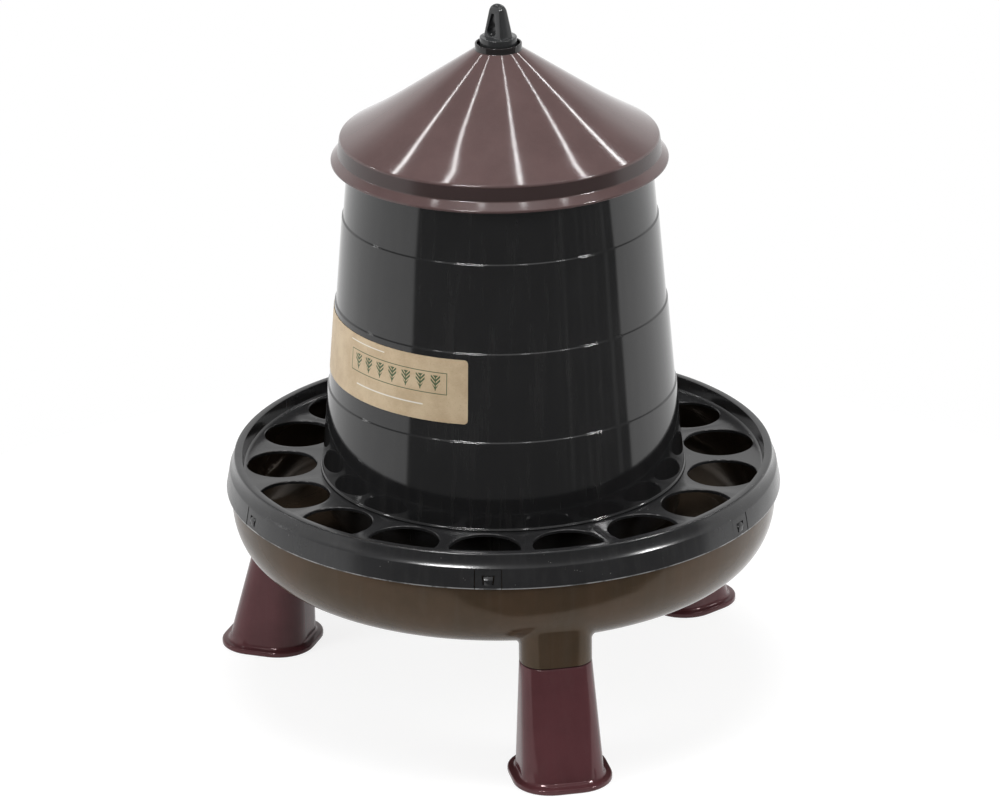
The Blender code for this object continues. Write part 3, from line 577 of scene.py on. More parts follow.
def turning_tree():
    """Turns an outline, whose points are a mesh's vertices in the XZ plane, about the vertical axis."""
    tree, nodes, given = new_tree("turned_about_the_axis",
                                  {"Outline": "Geometry", "Steps round": "Int", "Material": "Material"})
    count = nodes.add("GeometryNodeAttributeDomainSize", {0: given["Outline"]})
    rows = count + 1
    grid = nodes.add("GeometryNodeMeshGrid", {
        "Size X": 1.0, "Size Y": 1.0, "Vertices X": given["Steps round"] + 1, "Vertices Y": rows})
    index = nodes.add("GeometryNodeInputIndex")
    column = nodes.maths("FLOOR", (index + 0.5) / rows)
    row = index - column * rows
    wrapped = nodes.maths("FLOORED_MODULO", row, count)
    place = nodes.add("GeometryNodeInputPosition")
    point = nodes.add("GeometryNodeSampleIndex", {
        "Geometry": given["Outline"], "Value": place, "Index": wrapped}, data_type="FLOAT_VECTOR")
    radius, _, height = nodes.split(point)
    angle = column / given["Steps round"] * tau
    sideways, forwards = radius * nodes.maths("SINE", angle), radius * nodes.maths("COSINE", angle)
    place = nodes.add("ShaderNodeCombineXYZ", {0: sideways, 1: -forwards, 2: height})
    shell = nodes.add("GeometryNodeSetPosition", {"Geometry": grid, "Position": place})
    shell = nodes.add("GeometryNodeMergeByDistance", {"Geometry": shell, "Distance": MERGE_DISTANCE})
    end_tree(nodes, shell, given["Material"])
    return tree


def round_the_axis(nodes, piece, count, first):
    """Copies of a piece, shared out evenly round the vertical axis."""
    points = nodes.add("GeometryNodePoints", {"Count": count})
    angle = nodes.add("GeometryNodeInputIndex") * tau / count + first
    turn = nodes.add("ShaderNodeCombineXYZ", {2: angle})
    copies = nodes.add("GeometryNodeInstanceOnPoints", {
        "Points": points, "Instance": piece, "Rotation": turn})
    return nodes.add("GeometryNodeRealizeInstances", {0: copies})


def piercing_tree():
    """Cuts chamfered round holes through a ring's plate and notches in its skirt, both evenly spaced."""
    tree, nodes, given = new_tree("pierced_and_notched_ring", {
        "Ring": "Geometry", "Holes": "Int", "Hole radius": "Float", "Hole circle": "Float",
        "First hole": "Float", "Chamfer": "Float", "Plate top": "Float", "Notches": "Int",
        "Notch width": "Float", "First notch": "Float", "Notch top": "Float", "Notch radius": "Float",
        "Material": "Material"})

    def moved(piece, x, y, z):
        place = nodes.add("ShaderNodeCombineXYZ", {0: x, 1: y, 2: z})
        return nodes.add("GeometryNodeTransform", {"Geometry": piece, "Translation": place})

    radius, chamfer = given["Hole radius"], given["Chamfer"]
    depth, height = NOTCH_CUTTER
    drill = nodes.add("GeometryNodeMeshCylinder", {
        "Vertices": HOLE_STEPS, "Radius": radius, "Depth": DRILL_DEPTH})
    drill = moved(drill, 0.0, -given["Hole circle"], given["Plate top"])
    sink = nodes.add("GeometryNodeMeshCone", {
        "Vertices": HOLE_STEPS, "Radius Top": radius + chamfer * 2.0, "Radius Bottom": radius,
        "Depth": chamfer * 2.0})
    sink = moved(sink, 0.0, -given["Hole circle"], given["Plate top"] - chamfer)
    size = nodes.add("ShaderNodeCombineXYZ", {0: given["Notch width"], 1: depth, 2: height})
    notch = nodes.add("GeometryNodeMeshCube", {"Size": size})
    notch = moved(notch, 0.0, -given["Notch radius"], given["Notch top"] - height / 2)
    cutters = [round_the_axis(nodes, drill, given["Holes"], given["First hole"]),
               round_the_axis(nodes, sink, given["Holes"], given["First hole"]),
               round_the_axis(nodes, notch, given["Notches"], given["First notch"])]
    cut = nodes.add("GeometryNodeMeshBoolean", {"Mesh 1": given["Ring"], "Mesh 2": cutters},
                    operation="DIFFERENCE", solver="EXACT")
    end_tree(nodes, cut, given["Material"])
    return tree


def repeating_tree():
    """Repeats a piece evenly round the vertical axis."""
    tree, nodes, given = new_tree("evenly_round_the_axis", {
        "Piece": "Geometry", "Copies": "Int", "First": "Float", "Material": "Material"})
    copies = round_the_axis(nodes, given["Piece"], given["Copies"], given["First"])
    end_tree(nodes, copies, given["Material"])
    return tree


def put_in_scene(name, data):
    obj = bpy.data.objects.new(name, data)
    bpy.context.scene.collection.objects.link(obj)
    return obj


def evaluated_mesh(obj):
    return bpy.data.meshes.new_from_object(obj.evaluated_get(bpy.context.evaluated_depsgraph_get()))


def grown(mesh, tree, inputs):
    """The plain mesh that a geometry node tree makes of a mesh."""
    host = put_in_scene(mesh.name, mesh)
    modifier = host.modifiers.new("shape", "NODES")
    modifier.node_group = tree
    for item in tree.interface.items_tree:
        if item.item_type == "SOCKET" and item.in_out == "INPUT" and item.name in inputs:
            modifier[item.identifier] = inputs[item.name]
    made = evaluated_mesh(host)
    bpy.data.objects.remove(host)
    return made


def mesh_of(bm, name, outwards=True):
    if outwards:
        bmesh.ops.recalc_face_normals(bm, faces=bm.faces)
    mesh = bpy.data.meshes.new(name)
    bm.to_mesh(mesh)
    bm.free()
    return mesh


def turned(name, outline, material, steps=ROUND_STEPS):
    """A mesh turned from a closed (radius, height) outline."""
    mesh = bpy.data.meshes.new(f"{name}_outline")
    mesh.from_pydata([(radius, 0.0, z) for radius, z in outline], [], [])
    return grown(mesh, TURNING, {"Steps round": steps, "Material": material})


def loft(bm, rings, closed=False):
    """Join rings of points in order: capped at both ends, or the last joined back to the first."""
    loops = [[bm.verts.new(point) for point in ring] for ring in rings]
    for lower, upper in zip(loops, loops[1:] + loops[:1] if closed else loops[1:]):
        for i in range(len(lower)):
            j = (i + 1) % len(lower)
            bm.faces.new((lower[i], lower[j], upper[j], upper[i]))
    if not closed:
        bm.faces.new(loops[0])
        bm.faces.new(loops[-1])
    return [vert for loop in loops for vert in loop]


def piece(name, mesh, body, material, replaces, slot, modifiers=()):
    """Make a finished object of a mesh: smooth but for its edges, closed outwards, riding on its body."""
    bm = bmesh.new()
    bm.from_mesh(mesh)
    bmesh.ops.remove_doubles(bm, verts=bm.verts, dist=MERGE_DISTANCE)
    bmesh.ops.recalc_face_normals(bm, faces=bm.faces)
    bm.to_mesh(mesh)
    bm.free()
    mesh.name = name
    mesh.materials.clear()
    mesh.materials.append(material)
    obj = put_in_scene(name, mesh)
    for kind, settings in modifiers:
        modifier = obj.modifiers.new(kind.lower(), kind)
        for key, value in settings.items():
            setattr(modifier, key, value)
    if modifiers:
        obj.data = evaluated_mesh(obj)
        obj.modifiers.clear()
    obj.data.shade_smooth()
    obj.data.set_sharp_from_angle(angle=SMOOTH_ANGLE)
    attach(obj, body)
    if replaces:
        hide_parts(*replaces)


def combined(mesh, tools, operation):
    """A mesh with other meshes joined on or cut out, one after another."""
    host = put_in_scene("blank", mesh)
    helpers = []
    for tool in tools:
        helper = put_in_scene("tool", tool)
        helpers.append(helper)
        modifier = host.modifiers.new("cut", "BOOLEAN")
        modifier.operation = operation
        modifier.solver = "EXACT"
        modifier.object = helper
    made = evaluated_mesh(host)
    for obj in [host, *helpers]:
        bpy.data.objects.remove(obj)
    return made


def rounded_rectangle(half_width, half_depth, corner, centre_y, z, steps):
    """Points round a rectangle with rounded corners, seen from above."""
    points = []
    for quarter, (side, front) in enumerate(((1, 1), (-1, 1), (-1, -1), (1, -1))):
        for step in range(steps + 1):
            angle = QUARTER * (quarter + step / steps)
            points.append(Vector((side * (half_width - corner) + corner * cos(angle),
                                  centre_y + front * (half_depth - corner) + corner * sin(angle), z)))
    return points


def leg_ring(size, z, inset=0.0):
    """A leg's outline at azimuth 0, its inner side upright at the legs' inner radius."""
    width, depth, corner = size
    half_width, half_depth = width / 2 - inset, depth / 2 - inset
    centre_y = -(LEG_RADIUS + depth / 2)
    return rounded_rectangle(half_width, half_depth, corner - inset, centre_y, z, CORNER_STEPS)


def turned_to(points, azimuth):
    return [Matrix.Rotation(azimuth, 3, "Z") @ point for point in points]


def tray_under_z(radius):
    """Height of the tray's outer face at a distance from the axis."""
    reach = min(max((radius - (KNEE_RADIUS - CORNER_WIDTH)) / CORNER_WIDTH, 0.0), 1.0)
    return KNEE_Z - CORNER_HEIGHT * sqrt(1.0 - reach ** 2)


def tray_wall(offset):
    """The tray's outer wall from its rim down to its floor, moved inwards by offset."""
    corner = arc((KNEE_RADIUS - CORNER_WIDTH, KNEE_Z), (CORNER_WIDTH - offset, CORNER_HEIGHT - offset),
                 0, -90, BOWL_STEPS)
    return [(TRAY_RADIUS - offset, TRAY_RIM_Z), (TRAY_RADIUS - offset, LEDGE_Z - offset),
            (LEDGE_RADIUS - offset, LEDGE_Z - offset), *corner]


def boss_mesh(azimuth):
    """A leg boss that flares with a fillet into the tray's curved underside."""
    rings = [leg_ring(LEG_TOP, BOSS_Z, LEG_WALL * 0.5), leg_ring(LEG_TOP, BOSS_Z, BOSS_ROUNDING),
             leg_ring(LEG_TOP, BOSS_Z + BOSS_ROUNDING)]
    for i in range(FILLET_STEPS + 1):
        swing = QUARTER * i / FILLET_STEPS
        ring = leg_ring(LEG_TOP, 0.0, -BOSS_FILLET * (1 - cos(swing)))
        for point in ring:
            surface = tray_under_z(hypot(point.x, point.y)) + BOSS_SINK
            point.z = surface - BOSS_FILLET * (1 - sin(swing))
        rings.append(ring)
    inside = leg_ring(LEG_TOP, 0.0, LEG_WALL)
    for point in inside:
        point.z = tray_under_z(hypot(point.x, point.y)) + TRAY_WALL * 0.5
    rings.append(inside)
    bm = bmesh.new()
    loft(bm, [turned_to(ring, azimuth) for ring in rings])
    return mesh_of(bm, "leg_boss")


def prism_mesh(levels, inset, azimuth):
    """A plug or hollow under a boss, between levels that are each a height and an added inset."""
    bm = bmesh.new()
    loft(bm, [turned_to(leg_ring(LEG_TOP, z, inset + more), azimuth) for z, more in levels])
    return mesh_of(bm, "leg_plug")


def make_tray():
    centre = [
        (CONE_RADIUS, TRAY_FLOOR_Z), (ROD_BOSS_RADIUS, CONE_TOP_Z), (ROD_BOSS_RADIUS, ROD_BOSS_Z),
        (ROD_BORE, ROD_BOSS_Z), (ROD_BORE, ROD_BOSS_UNDER_Z), (ROD_BOSS_RADIUS, ROD_BOSS_UNDER_Z),
        (ROD_BOSS_RADIUS, CONE_TOP_Z - CONE_DROP), (CONE_FOOT_RADIUS, TRAY_Z),
    ]
    outline = softened(tray_wall(TRAY_WALL) + centre + tray_wall(0.0)[::-1], TRAY_ROUNDING)
    shell = turned("tray_bowl", outline, TRAY_PLASTIC)
    azimuths = [radians(degrees) for degrees in LEG_AZIMUTHS.values()]
    inset = LEG_WALL + SPIGOT_GAP
    narrowing, rise = SPIGOT_LEAD
    foot_z = BOSS_Z - SPIGOT_LENGTH
    plug = [(foot_z, narrowing), (foot_z + rise, 0.0), (TRAY_Z - 0.0010, 0.0)]
    hollow = [(foot_z - SPIGOT_LENGTH, SPIGOT_WALL), (TRAY_Z - 0.0004, SPIGOT_WALL)]
    bosses = [boss_mesh(azimuth) for azimuth in azimuths]
    shell = combined(shell, bosses + [prism_mesh(plug, inset, azimuth) for azimuth in azimuths], "UNION")
    shell = combined(shell, [prism_mesh(hollow, inset, azimuth) for azimuth in azimuths], "DIFFERENCE")
    piece("tray_bowl", shell, "base", TRAY_PLASTIC, ["tray"], "tray_plastic")


def make_catch_lugs():
    """Bevelled wedges on the tray's rim, one behind each tongue's window."""
    skirt_slope = (SKIRT_RADIUS - CREASE_RADIUS) / (CREASE_Z - SKIRT_Z)
    front = SKIRT_RADIUS - skirt_slope * (LUG_Z - SKIRT_Z) - LUG_SINK
    back = TRAY_RADIUS - TRAY_WALL / 2
    top = LUG_Z + LUG_HEIGHT
    side = [(back, LUG_Z), (front, LUG_Z), (front, LUG_Z + LUG_HEIGHT * LUG_STEEP_SHARE),
            (front - LUG_SLOPE, top), (back, top)]
    bm = bmesh.new()
    rings = []
    for turn_side in (-1, 1):
        ring = []
        for radius, z in side:
            share = (z - LUG_Z) / LUG_HEIGHT
            width = LUG_FOOT_WIDTH + (LUG_TOP_WIDTH - LUG_FOOT_WIDTH) * share
            ring.append(Vector((turn_side * width / 2, -radius, z)))
        rings.append(ring)
    loft(bm, rings)
    bmesh.ops.recalc_face_normals(bm, faces=bm.faces)
    bmesh.ops.bevel(bm, geom=list(bm.edges), offset=LUG_BEVEL, segments=2, affect="EDGES", profile=0.5)
    lugs = grown(mesh_of(bm, "catch_lug"), REPEATING,
                 {"Copies": TONGUE_COUNT, "First": TONGUE_AZIMUTH, "Material": RING_PLASTIC})
    piece("catch_lugs", lugs, "base", RING_PLASTIC, None, "ring_plastic")


def flank(offset, steps):
    """The ring's hollowed flank from lip edge to crease, moved inwards by offset."""
    start, bend = (LIP_RADIUS + 0.0007, LIP_Z - 0.0009), (FLANK_RADIUS - 0.0010, FLANK_Z)
    return [(radius - offset, z) for radius, z in curve(start, bend, (CREASE_RADIUS, CREASE_Z), steps)]


def make_ring():
    well_centre = (WELL_RADIUS - WELL_FILLET, PLATE_Z + WELL_FILLET)
    well_fillet = arc(well_centre, (WELL_FILLET, WELL_FILLET), -90, 0, 5)
    under = [point for point in flank(RING_WALL, 6)[::-1] if point[1] < LIP_Z - RING_WALL]
    outline = [
        (PLATE_BORE, PLATE_Z),
        *well_fillet,
        (LIP_INNER_RADIUS, LIP_Z),
        (LIP_RADIUS, LIP_Z),
        *flank(0.0, 10),
        (SKIRT_RADIUS, SKIRT_Z),
        (SKIRT_RADIUS - RING_WALL, SKIRT_Z),
        *under,
        (LIP_INNER_RADIUS + RING_WALL, LIP_Z - RING_WALL),
        (WELL_RADIUS + RING_WALL, PLATE_Z - PLATE_THICKNESS),
        (PLATE_BORE, PLATE_Z - PLATE_THICKNESS),
    ]
    blank = turned("ring_blank", softened(outline, RING_ROUNDING, 3, SLIGHT_CORNER), RING_PLASTIC)
    ring = grown(blank, PIERCING, {
        "Holes": HOLE_COUNT, "Hole radius": HOLE_RADIUS, "Hole circle": HOLE_CIRCLE,
        "First hole": HOLE_AZIMUTH, "Chamfer": HOLE_CHAMFER, "Plate top": PLATE_Z,
        "Notches": TONGUE_COUNT, "Notch width": TONGUE_WIDTH + 2 * TONGUE_SLOT,
        "First notch": TONGUE_AZIMUTH, "Notch top": TONGUE_Z + TONGUE_TOP_GAP,
        "Notch radius": SKIRT_RADIUS,
        "Material": RING_PLASTIC,
    })
    piece("feeding_ring_plate", ring, "base", RING_PLASTIC, ["feeding_ring"], "ring_plastic")


def barrel_surface(z):
    """Outer radius of the stepped barrel: each band is a little wider at its top than the plain taper."""
    height = RIM_Z - RIM_HEIGHT - HOPPER_Z
    taper = BARREL_RADIUS + (BARREL_TOP_RADIUS - BARREL_RADIUS) * (z - HOPPER_Z) / height
    levels = [HOPPER_Z, *RIDGE_LEVELS, RIM_Z]
    for low, high in zip(levels, levels[1:]):
        if z <= high:
            return taper + RIDGE_STEP * ((z - low) / (RIDGE_LEVELS[1] - RIDGE_LEVELS[0]) - 0.5)
    return taper


def make_hopper():
    neck_z = RIM_Z - RIM_HEIGHT
    bead_radius = BARREL_RADIUS + FOOT_BEAD
    outer = [(SPIGOT_RADIUS, SPIGOT_FOOT_Z), (SPIGOT_RADIUS, HOPPER_Z)]
    outer += [(bead_radius, HOPPER_Z), (bead_radius, HOPPER_Z + FOOT_BEAD_HEIGHT)]
    outer.append((barrel_surface(HOPPER_Z + FOOT_BEAD_TOP), HOPPER_Z + FOOT_BEAD_TOP))
    for z in RIDGE_LEVELS:
        outer += [(barrel_surface(z), z), (barrel_surface(z + JUST_ABOVE), z + RIDGE_STEP * 0.75)]
    outer.append((barrel_surface(neck_z - NECK_HEIGHT), neck_z - NECK_HEIGHT))
    outer += [(RIM_RADIUS, neck_z), (RIM_RADIUS, RIM_Z)]
    inner = [(BARREL_TOP_RADIUS - BARREL_WALL, RIM_Z)]
    for z in RIDGE_LEVELS[::-1]:
        inner.append((barrel_surface(z + JUST_ABOVE) - BARREL_WALL, z + RIDGE_STEP))
        inner.append((barrel_surface(z) - BARREL_WALL, z))
    throat_z = HOPPER_Z + HOPPER_THROAT
    inner.append((barrel_surface(throat_z) - BARREL_WALL, throat_z))
    inner += [(SPIGOT_RADIUS - BARREL_WALL, HOPPER_Z), (SPIGOT_RADIUS - BARREL_WALL, SPIGOT_FOOT_Z)]
    outline = softened(outer + inner, BARREL_ROUNDING, 4)
    barrel = turned("hopper_barrel", outline, BARREL_PLASTIC, FINE_ROUND_STEPS)
    piece("hopper_barrel", barrel, "base", BARREL_PLASTIC, ["hopper"], "hopper_plastic")


def make_label():
    """A paper label bent round the barrel, with rounded corners and its own flat coordinates in metres."""
    length = (LABEL_RIGHT - LABEL_LEFT) * barrel_surface((LABEL_FOOT_Z + LABEL_TOP_Z) / 2)
    swings = [QUARTER * i / LABEL_END_STEPS for i in range(LABEL_END_STEPS + 1)]
    ends = [LABEL_CORNER * (1 - cos(swing)) for swing in swings]
    middle_step = (length - 2 * LABEL_CORNER) / LABEL_MIDDLE_STEPS
    middle = [LABEL_CORNER + middle_step * i for i in range(1, LABEL_MIDDLE_STEPS)]
    bm = bmesh.new()
    flat = bm.loops.layers.uv.new("flat")
    rings, sheet_places = [], []
    for along in ends + middle + [length - end for end in ends[::-1]]:
        near = min(along, length - along)
        cut = 0.0
        if near < LABEL_CORNER:
            cut = LABEL_CORNER - sqrt(max(LABEL_CORNER ** 2 - (LABEL_CORNER - near) ** 2, 0.0))
        azimuth = LABEL_LEFT + (LABEL_RIGHT - LABEL_LEFT) * along / length
        foot, top = LABEL_FOOT_Z + cut, LABEL_TOP_Z - cut
        heights = [foot + (top - foot) * i / LABEL_LEVELS for i in range(LABEL_LEVELS + 1)]
        face = [polar(barrel_surface(z) + LABEL_GAP + LABEL_THICKNESS, azimuth, z) for z in heights]
        back = [polar(barrel_surface(z) + LABEL_GAP, azimuth, z) for z in heights[::-1]]
        rings.append(face + back)
        sheet_places += [(along, z - LABEL_FOOT_Z) for z in heights + heights[::-1]]
    where = dict(zip(loft(bm, rings), sheet_places))
    for face in bm.faces:
        for corner in face.loops:
            corner[flat].uv = where[corner.vert]
    piece("paper_label", mesh_of(bm, "paper_label"), "base", KRAFT, ["label"], "label_paper")


def make_lid():
    drop = LID_WALL / cos(LID_SLOPE)
    slope = (LID_COLLAR_FOOT_Z - LID_BRIM_Z) / (LID_BRIM_RADIUS - LID_COLLAR_RADIUS)
    brim_start = (LID_BRIM_RADIUS - LID_BRIM_BEND, LID_BRIM_Z + slope * LID_BRIM_BEND)
    brim_end = (LID_BRIM_RADIUS + LID_BRIM_BEND, LID_BRIM_Z - LID_BRIM_SLOPE * LID_BRIM_BEND)
    brim = curve(brim_start, (LID_BRIM_RADIUS, LID_BRIM_Z), brim_end, BRIM_STEPS)
    corner_width, corner_rise, corner_drop = LID_CORNER
    outline = [
        (LID_COLLAR_BORE, LID_COLLAR_Z),
        (LID_COLLAR_RADIUS, LID_COLLAR_Z),
        (LID_COLLAR_RADIUS, LID_COLLAR_FOOT_Z),
        *brim,
        (LID_RADIUS - corner_width, LID_EDGE_Z + corner_rise),
        (LID_RADIUS, LID_EDGE_Z - corner_drop),
        (LID_WALL_FOOT_RADIUS, LID_WALL_FOOT_Z),
        (LID_FLANGE_RADIUS, LID_FLANGE_Z),
        (LID_FLANGE_RADIUS, LID_FLANGE_Z - LID_FLANGE_LIP),
        (LID_FLANGE_RADIUS - LID_WALL, LID_FLANGE_Z - LID_FLANGE_LIP),
        (LID_WALL_FOOT_RADIUS - LID_WALL, LID_WALL_FOOT_Z - LID_WALL / 2),
        (LID_INNER_RADIUS, LID_SEAT_Z),
        (LID_SEAT_RADIUS, LID_SEAT_Z),
        (LID_BRIM_RADIUS, LID_BRIM_Z - drop),
        (LID_COLLAR_BORE, LID_COLLAR_FOOT_Z + LID_COLLAR_RISE - drop),
    ]
    outline = softened(outline, LID_ROUNDING, 4, SLIGHT_CORNER)
    cone = turned("lid_cone", outline, LID_PLASTIC, FINE_ROUND_STEPS)
    piece("lid_cone", cone, "lid", LID_PLASTIC, ["lid"], "lid_plastic")


def make_eye():
    """Round base with a flattened tapering head, slotted for the cord."""
    base_z = EYE_BASE_Z
    height = EYE_TOP_Z - base_z
    outline = [(ROD_BORE, base_z - EYE_CAP), (ROD_BORE, EYE_UNDER_Z), (EYE_BASE_RADIUS, EYE_UNDER_Z),
               (EYE_BASE_RADIUS, base_z), (0.0, base_z), (0.0, base_z - EYE_CAP)]
    base = turned("eye_base", softened(outline, EYE_ROUNDING, 4), EYE_PLASTIC, EYE_ROUND_STEPS)
    rings = []
    for i in range(EYE_LEVELS + 1):
        z = base_z - EYE_SINK + (height + EYE_SINK) * sin(QUARTER * i / EYE_LEVELS)
        share = max(z - base_z, 0.0) / height
        shoulder = max(share - EYE_SHOULDER, 0.0) / (1.0 - EYE_SHOULDER)
        pinch = sqrt(max(1.0 - shoulder ** EYE_ROUNDNESS, 0.0004))
        half_width = (EYE_WIDE - EYE_TAPER * share) * pinch
        half_depth = half_width * EYE_FLATNESS
        corner = half_depth * (EYE_CORNERS[0] + EYE_CORNERS[1] * shoulder)
        rings.append(rounded_rectangle(half_width, half_depth, corner, 0.0, z, EYE_CORNER_STEPS))
    bm = bmesh.new()
    loft(bm, rings)
    head = mesh_of(bm, "eye_head")

    radius, slot_foot = EYE_SLOT_FOOT / 2, base_z + EYE_SLOT_RAISE
    slot_head = slot_foot + EYE_SLOT_HEIGHT
    slot = arc((0.0, slot_foot + radius), (radius, radius), -180, 0, 12)
    slot += [(EYE_SLOT_HEAD / 2, slot_head), (-EYE_SLOT_HEAD / 2, slot_head)]
    slot = softened([(x - EYE_SLOT_SHIFT, z) for x, z in slot], EYE_ROUNDING)
    bm = bmesh.new()
    loft(bm, [[Vector((x, y, z)) for x, z in slot] for y in (-EYE_SLOT_REACH, EYE_SLOT_REACH)])
    eye = combined(base, [head], "UNION")
    eye = combined(eye, [mesh_of(bm, "eye_slot")], "DIFFERENCE")
    eye.transform(Matrix.Rotation(EYE_AZIMUTH, 4, "Z"))
    bevel = {"width": EYE_BEVEL, "segments": 2, "limit_method": "ANGLE", "angle_limit": radians(40)}
    piece("slotted_eye", eye, "hanger", EYE_PLASTIC, ["hanger_eye"], "ring_plastic", [("BEVEL", bevel)])


def make_legs():
    """Hollow tapered legs with a rolled flange at the foot, each riding on its own body."""

    def between(share, inset=0.0):
        z = LEG_HEIGHT + (FOOT_THICKNESS - LEG_HEIGHT) * share
        size = tuple(a + (b - a) * share for a, b in zip(LEG_TOP, LEG_FOOT))
        return leg_ring(size, z, inset)

    def foot(z, out):
        return leg_ring(LEG_FOOT, z, -out)

    rings = [between(0.0, LEG_WALL), between(0.0, 0.0007), between(0.0035, 0.0002), between(0.010)]
    rings += [between(share / 8) for share in range(1, 8)] + [between(1.0 - FOOT_FILLET / LEG_HEIGHT)]
    swings = [QUARTER * i / FOOT_STEPS for i in range(1, FOOT_STEPS + 1)]
    for swing in swings:
        rise, out = 1 - sin(swing), 1 - cos(swing)
        rings.append(foot(FOOT_THICKNESS + FOOT_FILLET * rise, FOOT_FILLET * out))
    rings.append(foot(FOOT_THICKNESS, FOOT_MARGIN - FOOT_EDGE))
    for swing in swings:
        drop, back = 1 - cos(swing), 1 - sin(swing)
        rings.append(foot(FOOT_THICKNESS - FOOT_EDGE * drop, FOOT_MARGIN - FOOT_EDGE * back))
    rings.append(foot(FOOT_UNDER_EDGE, FOOT_MARGIN))
    rings += [foot(0.0, FOOT_MARGIN - FOOT_UNDER_EDGE), foot(0.0, -LEG_WALL)]
    for name, degrees in LEG_AZIMUTHS.items():
        bm = bmesh.new()
        loft(bm, [turned_to(ring, radians(degrees)) for ring in rings], closed=True)
        piece(f"{name}_shell", mesh_of(bm, name), name, LEG_PLASTIC, [name], "leg_plastic")


def ray_kinds(nodes):
    """Masks for rays that come from the camera, and for those that a face mirrors or lets through."""
    path = nodes.add("ShaderNodeLightPath").socket.node
    camera, glossy, through = (Value(nodes, path.outputs[name])
                               for name in ("Is Camera Ray", "Is Glossy Ray", "Is Transmission Ray"))
    return camera, nodes.maths("MAXIMUM", glossy, through)


def make_floor():
    """A pale floor that shows white and keeps a soft shadow, with a dark part ahead in gloss."""
    material, nodes = new_material("white_floor")
    camera, gloss = ray_kinds(nodes)
    seen = nodes.maths("MAXIMUM", camera, gloss)
    x, y, _ = nodes.split(nodes.place())
    edge_softness, side_softness = FLOOR_SOFTNESS
    side_x, side_y, side_slope = FLOOR_SIDE
    ahead = nodes.step(-y, FLOOR_EDGE - edge_softness, FLOOR_EDGE + edge_softness)
    ahead = ahead * nodes.step((x - side_x) * side_slope - (y - side_y), -side_softness, side_softness)
    left = nodes.step(-x, -FLOOR_FADE, FLOOR_FADE)
    lit = (1.0 - gloss * (0.02 + left * 0.26)) * (1.0 - gloss * ahead * 0.96)
    grain = nodes.noise(nodes.place(), 40.0, 3.0)
    plain = nodes.mix(grain, (0.80, 0.80, 0.80, 1.0), (0.84, 0.84, 0.84, 1.0))
    plain = nodes.add("ShaderNodeBsdfDiffuse", {"Color": plain})
    faint = nodes.mix(grain, (0.23, 0.23, 0.23, 1.0), (0.26, 0.26, 0.26, 1.0))
    faint = nodes.add("ShaderNodeBsdfDiffuse", {"Color": nodes.mix(lit, BLACK, faint)})
    glow = nodes.add("ShaderNodeEmission", {"Color": nodes.mix(lit, BLACK, WHITE), "Strength": 0.84})
    white = nodes.add("ShaderNodeAddShader", {0: faint, 1: glow})
    surface = nodes.add("ShaderNodeMixShader", {0: seen, 1: plain, 2: white})
    nodes.add("ShaderNodeOutputMaterial", {"Surface": surface})
    bm = bmesh.new()
    bmesh.ops.create_circle(bm, cap_ends=True, segments=96, radius=FLOOR_RADIUS)
    bmesh.ops.translate(bm, verts=bm.verts, vec=(0.0, 0.0, FLOOR_Z))
    floor = put_in_scene("floor", mesh_of(bm, "floor", outwards=False))
    floor.data.materials.append(material)


def make_world():
    """White to the camera, a white room with a dark front and a grey ceiling in gloss, and a soft fill."""
    world = bpy.data.worlds.new("studio")
    bpy.context.scene.world = world
    world.use_nodes = True
    nodes = Nodes(world.node_tree)
    x, y, z = nodes.split(nodes.add("ShaderNodeTexCoord", output="Generated"))
    azimuth = nodes.maths("ARCTAN2", x, -y) * (180 / pi)
    begin, end = DARK_FRONT
    front = nodes.step(azimuth, begin - DARK_FRONT_SOFTNESS, begin + DARK_FRONT_SOFTNESS)
    front = front * (1.0 - nodes.step(azimuth, end - DARK_FRONT_SOFTNESS, end + DARK_FRONT_SOFTNESS))

    def panel(foot, full_from, full_to, top):
        """A bright band between two heights on the front, soft at its foot and top."""
        return nodes.step(z, foot, full_from) * (1.0 - nodes.step(z, full_to, top)) * front

    folds = nodes.add("ShaderNodeTexNoise", {"W": azimuth, "Scale": 0.17, "Detail": 3.0},
                      noise_dimensions="1D")
    folds = nodes.step(folds, 0.44, 0.76) * nodes.step(azimuth, 15.0, 60.0) * 0.14
    ceiling = nodes.step(z, 0.30, 0.62)
    room = 1.0 + (folds - 0.85) * front
    room = room + (0.22 - room) * ceiling
    room = room + panel(0.52, 0.62, 0.84, 0.94) * 0.34 + panel(0.84, 0.90, 0.95, 0.985)
    near = nodes.step(azimuth, -100.0, -20.0) * (1.0 - nodes.step(azimuth, 50.0, 130.0))
    fill = 0.60 - near * 0.42
    fill = fill + (0.35 - fill) * ceiling
    camera, gloss = ray_kinds(nodes)
    strength = camera + (1.0 - camera) * (fill + (room - fill) * gloss)
    backdrop = nodes.add("ShaderNodeBackground", {"Color": WHITE, "Strength": strength})
    nodes.add("ShaderNodeOutputWorld", {"Surface": backdrop})


def hang_lamp(name, shape, size, power, place, turn, fill=False):
    """Hang an area lamp. A fill lamp lights the faces alone, any other shows as a highlight alone."""
    lamp = bpy.data.lights.new(name, "AREA")
    lamp.shape = shape
    lamp.size, lamp.size_y = size
    lamp.energy = power
    obj = put_in_scene(name, lamp)
    obj.location = place
    obj.rotation_euler = turn
    obj.visible_camera = False
    obj.visible_glossy = not fill
    obj.visible_diffuse = fill


def make_lamp(name, direction, size, power, distance=LAMP_DISTANCE, fill=False):
    """An oval lamp, its width level, that faces the feeder from a direction."""
    towards = Vector(direction).normalized()
    place = Vector((0.0, 0.0, LAMP_AIM_Z)) + towards * distance
    hang_lamp(name, "ELLIPSE", size, power, place, towards.to_track_quat("Z", "Y").to_euler(), fill)


